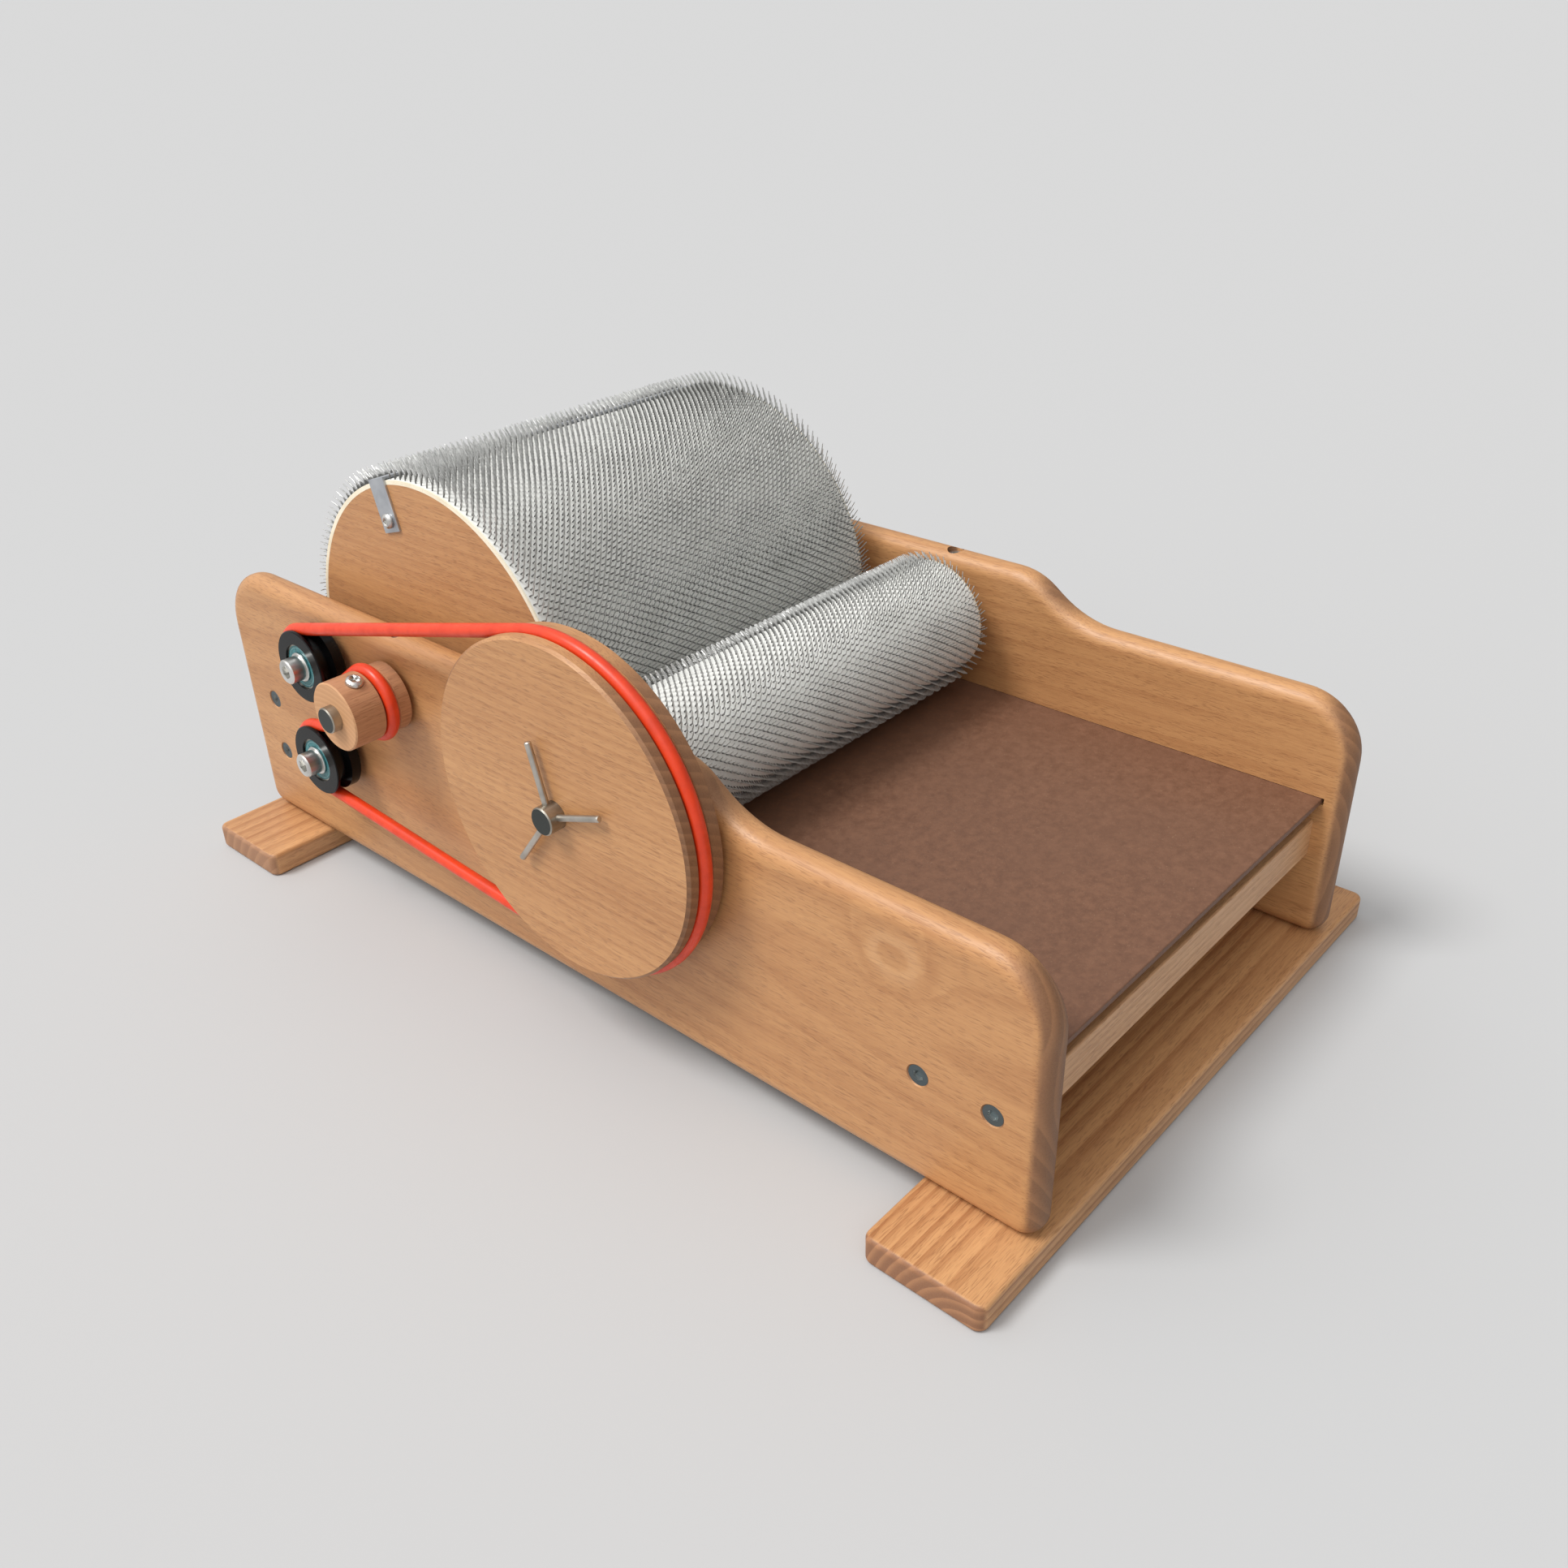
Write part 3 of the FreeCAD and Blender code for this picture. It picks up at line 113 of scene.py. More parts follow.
def dome():
    """A grey dome, brighter over the left shoulder, with a wide soft panel in its bright half."""
    world = bpy.data.worlds.new("studio")
    world.use_nodes = True
    tree = world.node_tree
    direction = tree.nodes.new("ShaderNodeTexCoord").outputs["Generated"]
    parts = []
    for aim, low, high, bright in DOME_LIGHTS:
        toward = tree.nodes.new("ShaderNodeVectorMath")
        toward.operation = "DOT_PRODUCT"
        toward.inputs[1].default_value = Vector(aim).normalized()
        tree.links.new(direction, toward.inputs[0])
        ramp = tree.nodes.new("ShaderNodeMapRange")
        ramp.interpolation_type = "SMOOTHSTEP"
        for label, value in (("From Min", low), ("From Max", high), ("To Max", bright)):
            ramp.inputs[label].default_value = value
        tree.links.new(toward.outputs["Value"], ramp.inputs["Value"])
        parts.append(ramp.outputs[0])
    total = tree.nodes.new("ShaderNodeMath")
    total.operation = "ADD"
    for index, part in enumerate(parts):
        tree.links.new(part, total.inputs[index])
    level = tree.nodes.new("ShaderNodeMath")
    level.inputs[1].default_value = DOME_LEVEL
    tree.links.new(total.outputs[0], level.inputs[0])
    tree.links.new(level.outputs[0], tree.nodes["Background"].inputs["Color"])
    return world


bpy.context.scene.world = dome()
bpy.context.scene.view_settings.view_transform = "Standard"

bpy.ops.object.select_all(action="DESELECT")
bpy.ops.mesh.primitive_plane_add(size=400, location=(0, 0, 0))
floor = bpy.context.object
floor.name = "floor"
floor_paint = bpy.data.materials.new("floor_paint")
floor_paint.use_nodes = True
floor_shader = floor_paint.node_tree.nodes["Principled BSDF"]
floor_shader.inputs["Base Color"].default_value = (0.508, 0.508, 0.508, 1)
floor_shader.inputs["Roughness"].default_value = 1.0
floor_shader.inputs["Specular IOR Level"].default_value = 0.0
floor.data.materials.append(floor_paint)
print("key light %.1f, floor %.0f m wide" % (sun.energy, floor.dimensions.x))

# %% [markdown]
# Materials are built from nodes, so a few short helpers keep the lines readable: they add a node and
# fill its inputs, do a sum, blend colours, centre a pattern on an axle, and make a group with sockets.


# %% Node helpers
def add(tree, kind, inputs=None, **settings):
    """Add a node, set its options, and link or fill its inputs."""
    made = tree.nodes.new(kind)
    for name, value in settings.items():
        setattr(made, name, value)
    for name, value in (inputs or {}).items():
        if isinstance(value, bpy.types.NodeSocket):
            tree.links.new(value, made.inputs[name])
        else:
            made.inputs[name].default_value = value
    return made


def calc(tree, operation, first, second=0.0, third=None):
    values = {0: first, 1: second}
    if third is not None:
        values[2] = third
    return add(tree, "ShaderNodeMath", values, operation=operation).outputs[0]


def remap(tree, value, low, high, to_low=0.0, to_high=1.0):
    """Smoothly stretch a value between two levels to the range 0 to 1, or another range."""
    inputs = {"Value": value, "From Min": low, "From Max": high, "To Min": to_low, "To Max": to_high}
    return add(tree, "ShaderNodeMapRange", inputs, interpolation_type="SMOOTHSTEP").outputs[0]


def mix(tree, amount, first, second):
    """Blend two colours."""
    made = add(tree, "ShaderNodeMix", data_type="RGBA", clamp_factor=True)
    for name, value in (("Factor", amount), ("A", first), ("B", second)):
        socket = [item for item in made.inputs if item.name == name and item.enabled][0]
        if isinstance(value, bpy.types.NodeSocket):
            tree.links.new(value, socket)
        else:
            socket.default_value = value
    return [item for item in made.outputs if item.enabled][0]


def noise(tree, vector, scale, detail=3.0, roughness=0.5):
    inputs = {"Vector": vector, "Scale": scale, "Detail": detail, "Roughness": roughness}
    return add(tree, "ShaderNodeTexNoise", inputs).outputs["Fac"]


def stretch(tree, vector, factors):
    """Scale a vector's three parts, to draw a pattern out along one of them."""
    inputs = {0: vector, 1: factors}
    return add(tree, "ShaderNodeVectorMath", inputs, operation="MULTIPLY").outputs[0]


def centred_on(tree, place, axis):
    """A point measured from an X axis that passes through (y, z)."""
    return add(tree, "ShaderNodeMapping", {"Vector": place, "Location": (0.0, -axis[0], -axis[1])}).outputs[0]


def from_x_axis(tree, vector):
    """How far a point lies from the X axis."""
    inputs = {0: stretch(tree, vector, (0.0, 1.0, 1.0))}
    return add(tree, "ShaderNodeVectorMath", inputs, operation="LENGTH").outputs["Value"]


def new_group(name, inputs, outputs):
    """An empty shader group with named inputs, each (name, kind, value), and named outputs."""
    group = bpy.data.node_groups.new(name, "ShaderNodeTree")
    for label, kind, value in inputs:
        socket = group.interface.new_socket(label, in_out="INPUT", socket_type=kind)
        if value is not None:
            socket.default_value = value
    for label, kind in outputs:
        group.interface.new_socket(label, in_out="OUTPUT", socket_type=kind)
    return group, group.nodes.new("NodeGroupInput").outputs, group.nodes.new("NodeGroupOutput").inputs


def new_material(name):
    """A material whose nodes are all gone but the Principled BSDF and the output."""
    material = bpy.data.materials.new(name)
    material.use_nodes = True
    tree = material.node_tree
    return material, tree, tree.nodes["Principled BSDF"]


FLOAT, VECTOR = "NodeSocketFloat", "NodeSocketVector"

# %% [markdown]
# Beech is pale, tan and close-grained. A log is a set of rings round its pith, so the pattern is solid:
# the distance from the pith line gives the rings, and whichever way a board is cut they come out
# right, as long lines on its faces and as arcs on its ends. On top lie fine fibres and the short dark
# flecks that mark beech. End grain drinks more oil, so it's darker: a mask from the normal finds it.

# %% Group: beech figure
figure, ins, outs = new_group(
    "beech_figure",
    [("Vector", VECTOR, None), ("Normal", VECTOR, None), ("Ring Width", FLOAT, 0.0035),
     ("Wobble", FLOAT, 0.003), ("Swell", FLOAT, 0.0), ("Ring Depth", FLOAT, 0.24)],
    [("Tone", FLOAT), ("Flecks", FLOAT), ("End Grain", FLOAT), ("Rings", FLOAT), ("Height", FLOAT)])
along = ins["Vector"]
wander = noise(figure, stretch(figure, along, (2.5, 14.0, 14.0)), 1.0, 2.0)
across = from_x_axis(figure, along)
shifted = calc(figure, "MULTIPLY_ADD", wander, ins["Wobble"], calc(figure, "ADD", across, ins["Swell"]))
ring = calc(figure, "FRACT", calc(figure, "DIVIDE", shifted, ins["Ring Width"]))
rise = remap(figure, ring, 0.0, 0.86)
fall = remap(figure, ring, 0.90, 1.0, 1.0, 0.0)
late_wood = calc(figure, "MULTIPLY", calc(figure, "POWER", rise, 2.5), fall)
facing = add(figure, "ShaderNodeSeparateXYZ", {0: ins["Normal"]}).outputs["X"]
end_grain = remap(figure, calc(figure, "ABSOLUTE", facing), 0.22, 0.62)
broad = noise(figure, stretch(figure, along, (2.5, 26.0, 26.0)), 1.0, 3.0)
fibre = noise(figure, stretch(figure, along, (45.0, 1100.0, 1100.0)), 1.0, 2.0, 0.6)
dash = noise(figure, stretch(figure, along, (200.0, 2300.0, 2300.0)), 1.0, 1.0)
crowd = noise(figure, stretch(figure, along, (14.0, 90.0, 90.0)), 1.0, 2.0)
flecks = calc(figure, "MULTIPLY", remap(figure, dash, 0.52, 0.68), remap(figure, crowd, 0.15, 0.55))
patchy = remap(figure, crowd, 0.25, 0.60, 0.35, 1.0)
tone = calc(figure, "MULTIPLY", calc(figure, "MULTIPLY", late_wood, patchy), ins["Ring Depth"])
tone = calc(figure, "MULTIPLY_ADD", remap(figure, broad, 0.25, 0.75), 0.36, tone)
tone = calc(figure, "MULTIPLY_ADD", remap(figure, fibre, 0.25, 0.75), 0.26, tone)
height = calc(figure, "MULTIPLY_ADD", flecks, -0.7, calc(figure, "MULTIPLY", fibre, 0.35))
for label, value in (("Tone", tone), ("Flecks", flecks), ("End Grain", end_grain), ("Rings", late_wood),
                     ("Height", height)):
    figure.links.new(value, outs[label])
print("group", figure.name, "has", len(figure.nodes), "nodes")

# %% [markdown]
# Each board is a material of its own, because each was cut from another place in the log. The Mapping
# node turns the board's own grain onto the pattern's X and says where the pith lies from it. The same
# turn is given to the normal, so the end grain is found on the right two faces.

# %% Beech boards
GRAIN_TURNS = {"x": (0.0, 0.0, 0.0), "y": (0.0, 0.0, -math.pi / 2), "z": (0.0, math.pi / 2, 0.0)}
LIGHT_BEECH, DARK_BEECH = (0.600, 0.312, 0.128, 1), (0.365, 0.152, 0.054, 1)
END_PALE = (0.250, 0.118, 0.056, 1)
FLECK_BROWN, END_BROWN = (0.210, 0.080, 0.030, 1), (0.125, 0.052, 0.026, 1)
WOOD_GLOSS = 0.40
KNOT_HALF = (0.0125, 0.0105)
KNOT_SWELL = 0.0075
KNOT_PALE = (0.760, 0.460, 0.240, 1)


def board_coordinates(tree, grain, pith, tilt=0.0):
    """The board's own point and normal, with its grain turned onto X and the pith moved to it."""
    coordinates = tree.nodes.new("ShaderNodeTexCoord")
    turn = Vector(GRAIN_TURNS[grain]) + Vector((0.0, 0.0, tilt))
    moved = add(tree, "ShaderNodeVectorMath", {0: coordinates.outputs["Object"], 1: pith},
                operation="SUBTRACT").outputs[0]
    point = add(tree, "ShaderNodeMapping", {"Vector": moved, "Rotation": turn}).outputs[0]
    normal = add(tree, "ShaderNodeMapping", {"Vector": coordinates.outputs["Normal"], "Rotation": turn},
                 vector_type="VECTOR").outputs[0]
    return coordinates.outputs["Object"], point, normal


def finish_wood(tree, shader, made, light, dark, end, ends):
    """Colour, sheen and relief of oiled wood from the figure's masks."""
    colour = mix(tree, made.outputs["Tone"], light, dark)
    colour = mix(tree, calc(tree, "MULTIPLY", made.outputs["Flecks"], 0.40), colour, FLECK_BROWN)
    arcs = mix(tree, calc(tree, "MULTIPLY", made.outputs["Rings"], 0.8), ends[1], ends[0])
    colour = mix(tree, calc(tree, "MULTIPLY", made.outputs["End Grain"], end), colour, arcs)
    tree.links.new(colour, shader.inputs["Base Color"])
    matt = calc(tree, "MULTIPLY_ADD", made.outputs["Tone"], 0.14, WOOD_GLOSS)
    matt = calc(tree, "MULTIPLY_ADD", made.outputs["End Grain"], 0.2, matt)
    tree.links.new(matt, shader.inputs["Roughness"])
    shader.inputs["Coat Weight"].default_value = 0.12
    shader.inputs["Coat Roughness"].default_value = 0.35
    inputs = {"Strength": 0.22, "Distance": 0.0003, "Height": made.outputs["Height"]}
    relief = add(tree, "ShaderNodeBump", inputs)
    tree.links.new(relief.outputs[0], shader.inputs["Normal"])


def beech(name, grain, pith, ring=0.0035, wobble=0.004, tilt=0.0, light=LIGHT_BEECH, dark=DARK_BEECH,
          end=0.75, knot=None, depth=0.24, ends=(END_PALE, END_BROWN)):
    """One piece of beech: its grain direction, and a point on the pith line it was cut from."""
    material, tree, shader = new_material(name)
    place, point, normal = board_coordinates(tree, grain, pith, tilt)
    made = add(tree, "ShaderNodeGroup", node_tree=figure)
    for label, value in (("Vector", point), ("Normal", normal)):
        tree.links.new(value, made.inputs[label])
    made.inputs["Ring Width"].default_value = ring
    made.inputs["Wobble"].default_value = wobble
    made.inputs["Ring Depth"].default_value = depth
    finish_wood(tree, shader, made, light, dark, end, ends)
    if knot:
        grow_knot(tree, shader, made, place, knot)
    return material


def grow_knot(tree, shader, made, place, middle):
    """A healed knot: the rings swell round it, and a pale ring and a darker heart lie in it."""
    offset = add(tree, "ShaderNodeVectorMath", {0: place, 1: (0.0, middle[0], middle[1])}, operation="SUBTRACT")
    from_middle = stretch(tree, offset.outputs[0], (0.0, 1 / KNOT_HALF[0], 1 / KNOT_HALF[1]))
    reach = add(tree, "ShaderNodeVectorMath", {0: from_middle}, operation="LENGTH").outputs["Value"]
    ragged = calc(tree, "MULTIPLY_ADD", noise(tree, place, 130.0, 2.0), 0.45, reach)
    swell = remap(tree, ragged, 0.3, 2.6, KNOT_SWELL, 0.0)
    tree.links.new(swell, made.inputs["Swell"])
    colour = shader.inputs["Base Color"].links[0].from_socket
    ring = calc(tree, "MULTIPLY", remap(tree, ragged, 0.62, 0.85), remap(tree, ragged, 0.95, 1.35, 1.0, 0.0))
    rind = calc(tree, "MULTIPLY", remap(tree, ragged, 1.25, 1.5), remap(tree, ragged, 1.5, 1.9, 1.0, 0.0))
    colour = mix(tree, calc(tree, "MULTIPLY", ring, 0.22), colour, KNOT_PALE)
    colour = mix(tree, calc(tree, "MULTIPLY", rind, 0.26), colour, DARK_BEECH)
    heart = calc(tree, "MULTIPLY", remap(tree, ragged, 0.35, 0.80, 1.0, 0.0), 0.14)
    tree.links.new(mix(tree, heart, colour, FLECK_BROWN), shader.inputs["Base Color"])


def dress(material, *names):
    """Give CAD nodes a material in every slot they have."""
    for name in names:
        for holder in nodes[name].material_slots:
            holder.material = material


left_low, left_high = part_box("left_side_plate")
foot_low, foot_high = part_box("front_foot")
rear_low, rear_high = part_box("rear_foot")
foot_middle = (foot_low[1] + foot_high[1]) / 2
rear_middle = (rear_low[1] + rear_high[1]) / 2
dress(beech("beech_left_plate", "y", (left_low[0] + 0.105, 0.0, 0.092), 0.0048, 0.016, 0.03,
            knot=(-0.180, 0.1085)), "left_side_plate")
dress(beech("beech_right_plate", "y", (left_high[0] + 0.130, 0.0, 0.050), 0.0048, 0.014, -0.025),
      "right_side_plate")
PALE, FOOT_LIGHT = (0.660, 0.385, 0.195, 1), (0.670, 0.370, 0.165, 1)
dress(beech("beech_front_foot", "x", (0.0, foot_low[1] + 0.004, -0.012), 0.0042, 0.005,
            light=FOOT_LIGHT, end=0.85, depth=0.55,
            ends=((0.430, 0.205, 0.096, 1), (0.215, 0.088, 0.042, 1))), "front_foot")
dress(beech("beech_rear_foot", "x", (0.0, rear_middle - 0.060, -0.040), 0.0060, 0.006,
            light=FOOT_LIGHT, end=0.85, depth=0.40,
            ends=((0.430, 0.230, 0.125, 1), (0.290, 0.140, 0.075, 1))), "rear_foot")
dress(beech("beech_front_rail", "x", (0.0, foot_middle, 0.140), 0.0036, 0.004, light=PALE), "front_rail")
dress(beech("beech_rear_rail", "x", (0.0, rear_middle + 0.05, 0.060), 0.0036, 0.004, light=PALE), "rear_rail")
dress(beech("beech_disc", "y", (-0.190, 0.0, licker_axis[1] - 0.10), 0.0042, 0.006, 0.02), "disc_pulley")
dress(beech("beech_drum_end", "y", (-0.170, 0.0, drum_axis[1] - 0.15), 0.0058, 0.008, -0.02),
      "main_drum_left_disc", "main_drum_right_disc")
dress(beech("beech_turned", "x", (0.0, drum_axis[0] + 0.05, drum_axis[1] - 0.04), 0.0030, 0.003),
      "main_drum_shell", "licker_in_roller")
REDDISH, REDDISH_DARK = (0.540, 0.265, 0.130, 1), (0.290, 0.115, 0.052, 1)
dress(beech("beech_small_pulley", "x", (0.0, drum_axis[0] + 0.004, drum_axis[1] - 0.030), 0.0026, 0.003,
            light=REDDISH, dark=REDDISH_DARK, end=0.95,
            ends=((0.640, 0.350, 0.170, 1), (0.560, 0.290, 0.135, 1))), "small_drive_pulley")
dress(beech("beech_handle", "x", (0.0, drum_axis[0] + 0.01, 0.06), 0.0030, 0.003, light=PALE,
            ends=(PALE, LIGHT_BEECH)), "crank_handle")
print("beech materials:", len([material for material in bpy.data.materials if "beech" in material.name]))

# %% [markdown]
# The tray is brown hardboard: pressed wood fibre with a smooth face. Up close it's a fine mottle of
# red-brown and grey-brown, with pale specks of fibre, and a dull sheen.

# %% Hardboard
hardboard, tree, shader = new_material("hardboard")
spot = tree.nodes.new("ShaderNodeTexCoord").outputs["Object"]
cloud = noise(tree, spot, 14.0, 4.0, 0.6)
mottle = noise(tree, spot, 260.0, 4.0, 0.7)
speck = noise(tree, stretch(tree, spot, (900.0, 1500.0, 1200.0)), 1.0, 2.0)
colour = mix(tree, remap(tree, mottle, 0.25, 0.75), (0.128, 0.056, 0.030, 1), (0.190, 0.088, 0.048, 1))
colour = mix(tree, remap(tree, cloud, 0.35, 0.75, 0.0, 0.45), colour, (0.148, 0.070, 0.040, 1))
colour = mix(tree, remap(tree, speck, 0.62, 0.80, 0.0, 0.30), colour, (0.34, 0.22, 0.13, 1))
tree.links.new(colour, shader.inputs["Base Color"])
tree.links.new(remap(tree, mottle, 0.2, 0.8, 0.48, 0.66), shader.inputs["Roughness"])
dents = add(tree, "ShaderNodeBump", {"Strength": 0.25, "Distance": 0.0002, "Height": mottle})
tree.links.new(dents.outputs[0], shader.inputs["Normal"])
dress(hardboard, "feed_tray")
print("made", hardboard.name)

# %% [markdown]
# Metal is told apart by its surface: ground steel shows fine rings from the lathe, zinc plate is bright
# and cloudy, bronze is warm. One group draws the lathe rings round any X axis and the faint
# smudges of handling; each metal then places it with its own values.

# %% Group: worked metal
worked, ins, outs = new_group(
    "worked_metal", [("Vector", VECTOR, None), ("Ring Pitch", FLOAT, 0.0002), ("Smudge Scale", FLOAT, 90.0)],
    [("Rings", FLOAT), ("Smudge", FLOAT)])
spread = from_x_axis(worked, ins["Vector"])
spot = add(worked, "ShaderNodeSeparateXYZ", {0: ins["Vector"]}).outputs["X"]
lathe = calc(worked, "DIVIDE", calc(worked, "ADD", spread, spot), ins["Ring Pitch"])
band = add(worked, "ShaderNodeTexNoise", {"W": lathe, "Scale": 1.0, "Detail": 2.0}, noise_dimensions="1D")
worked.links.new(band.outputs["Fac"], outs["Rings"])
worked.links.new(noise(worked, ins["Vector"], ins["Smudge Scale"], 3.0), outs["Smudge"])


def metal(name, colour, dull, gloss, axis=(0.0, 0.0), pitch=0.0002, relief=0.1, ends=None):
    """A bare or plated metal: two tones, a roughness, and lathe rings about one X axis."""
    material, tree, shader = new_material(name)
    place = tree.nodes.new("ShaderNodeTexCoord").outputs["Object"]
    centred = centred_on(tree, place, axis)
    made = add(tree, "ShaderNodeGroup", node_tree=worked)
    tree.links.new(centred, made.inputs["Vector"])
    made.inputs["Ring Pitch"].default_value = pitch
    tint = mix(tree, remap(tree, made.outputs["Smudge"], 0.3, 0.75), colour, dull)
    # Faces that look along X can be painted a colour of their own, darker than the sides.
    if ends:
        normal = add(tree, "ShaderNodeTexCoord").outputs["Normal"]
        facing = add(tree, "ShaderNodeSeparateXYZ", {0: normal}).outputs["X"]
        tint = mix(tree, remap(tree, calc(tree, "ABSOLUTE", facing), 0.93, 0.97), tint, ends)
    tree.links.new(tint, shader.inputs["Base Color"])
    rough = calc(tree, "MULTIPLY_ADD", made.outputs["Smudge"], 0.22, gloss - 0.08)
    tree.links.new(calc(tree, "MULTIPLY_ADD", made.outputs["Rings"], 0.08, rough), shader.inputs["Roughness"])
    shader.inputs["Metallic"].default_value = 1.0
    inputs = {"Strength": relief, "Distance": 0.00005, "Height": made.outputs["Rings"]}
    bump = add(tree, "ShaderNodeBump", inputs)
    tree.links.new(bump.outputs[0], shader.inputs["Normal"])
    return material


STEEL, STEEL_DULL = (0.46, 0.43, 0.37, 1), (0.20, 0.18, 0.15, 1)
STEEL_END_REFLECTION, ZINC_END_DARK = (0.065, 0.072, 0.068, 1), (0.120, 0.150, 0.160, 1)
ZINC, ZINC_DULL = (0.78, 0.77, 0.74, 1), (0.50, 0.49, 0.47, 1)
# On the axles, collars and pins the faces that look along X are painted nearly black: a painted dark
# reflection, as they are the same turned steel.
dress(metal("steel_main_axle", STEEL, STEEL_DULL, 0.30, drum_axis, 0.0004, 0.3, STEEL_END_REFLECTION),
      "main_axle", "main_axle_collars", "main_drum_drive_pin")
dress(metal("steel_licker_axle", STEEL, STEEL_DULL, 0.30, licker_axis, 0.0004, 0.3, STEEL_END_REFLECTION), "licker_in_axle",
      "licker_in_collars", "licker_in_drive_pin")
dress(metal("bright_pins", (0.60, 0.56, 0.50, 1), (0.40, 0.37, 0.33, 1), 0.30, licker_axis), "driver_pins")
zinc = metal("zinc_plate", ZINC, ZINC_DULL, 0.26)
# The rail screws' faces that look along X are painted darker than their sides.
dress(metal("zinc_dark_end_faces", ZINC, ZINC_DULL, 0.30, ends=ZINC_END_DARK), "rail_screws")
dress(zinc, "foot_screws", "axle_lock_screws", "main_axle_collar_screws", "licker_in_collar_screws",
      "seam_strip_screws", "small_pulley_screw", "idler_washers", "idler_bolts", "idler_nuts", "idler_spacers",
      "crank_hub_screw", "crank_spindle", "crank_spindle_nut")
dress(metal("seam_steel", (0.60, 0.62, 0.65, 1), (0.42, 0.44, 0.47, 1), 0.36, pitch=0.0008), "seam_strip")
dress(metal("bush_bronze", (0.55, 0.33, 0.14, 1), (0.33, 0.19, 0.09, 1), 0.38, drum_axis), "main_axle_bushes",
      "licker_in_bushes")
print("metals:", len([material for material in bpy.data.materials if material.node_tree]), "materials so far")

# %% [markdown]
# The crank's arm is flat bar with dark paint: a faint orange peel and a soft gloss.


# %% Painted crank
def paint(name, colour, gloss):
    material, tree, shader = new_material(name)
    place = tree.nodes.new("ShaderNodeTexCoord").outputs["Object"]
    peel = noise(tree, place, 900.0, 2.0)
    wear = noise(tree, place, 60.0, 4.0, 0.6)
    worn = tuple(part * 1.8 + 0.01 for part in colour[:3]) + (1,)
    tree.links.new(mix(tree, remap(tree, wear, 0.55, 0.8, 0.0, 0.5), colour, worn), shader.inputs["Base Color"])
    tree.links.new(remap(tree, wear, 0.3, 0.7, gloss, gloss + 0.18), shader.inputs["Roughness"])
    bump = add(tree, "ShaderNodeBump", {"Strength": 0.15, "Distance": 0.0001, "Height": peel})
    tree.links.new(bump.outputs[0], shader.inputs["Normal"])
    return material


dress(paint("crank_paint", (0.030, 0.031, 0.033, 1), 0.32), "crank_arm")

# %% [markdown]
# The belt is solid polyurethane cord. It is bright orange, slightly waxy, and the light goes a little
# way into it, so its shaded side stays warm. The idlers are black moulded plastic, turned on the flanges.

# %% Belt and idlers
belt_skin, tree, shader = new_material("belt_orange")
place = tree.nodes.new("ShaderNodeTexCoord").outputs["Object"]
scuff = noise(tree, place, 140.0, 4.0, 0.6)
tree.links.new(mix(tree, remap(tree, scuff, 0.35, 0.75), (0.760, 0.052, 0.009, 1), (0.640, 0.040, 0.007, 1)),
               shader.inputs["Base Color"])
tree.links.new(remap(tree, scuff, 0.3, 0.7, 0.30, 0.44), shader.inputs["Roughness"])
shader.inputs["Subsurface Weight"].default_value = 0.25
shader.inputs["Subsurface Radius"].default_value = (1.0, 0.25, 0.1)
shader.inputs["Subsurface Scale"].default_value = 0.0015
bump = add(tree, "ShaderNodeBump", {"Strength": 0.08, "Distance": 0.0002, "Height": scuff})
tree.links.new(bump.outputs[0], shader.inputs["Normal"])
dress(belt_skin, "drive_belt")

PLASTIC_BLACK, PLASTIC_DUST = (0.0025, 0.0027, 0.003, 1), (0.008, 0.0085, 0.009, 1)


def black_plastic(name, axis):
    """Glossy black plastic with the fine rings of its turning."""
    material, tree, shader = new_material(name)
    place = tree.nodes.new("ShaderNodeTexCoord").outputs["Object"]
    centred = centred_on(tree, place, axis)
    made = add(tree, "ShaderNodeGroup", node_tree=worked)
    tree.links.new(centred, made.inputs["Vector"])
    made.inputs["Ring Pitch"].default_value = 0.0005
    dust = remap(tree, made.outputs["Smudge"], 0.4, 0.8)
    tree.links.new(mix(tree, dust, PLASTIC_BLACK, PLASTIC_DUST), shader.inputs["Base Color"])
    tree.links.new(calc(tree, "MULTIPLY_ADD", made.outputs["Rings"], 0.12, 0.13), shader.inputs["Roughness"])
    shader.inputs["Specular IOR Level"].default_value = 0.20
    bump = add(tree, "ShaderNodeBump", {"Strength": 0.15, "Distance": 0.0001, "Height": made.outputs["Rings"]})
    tree.links.new(bump.outputs[0], shader.inputs["Normal"])
    return material


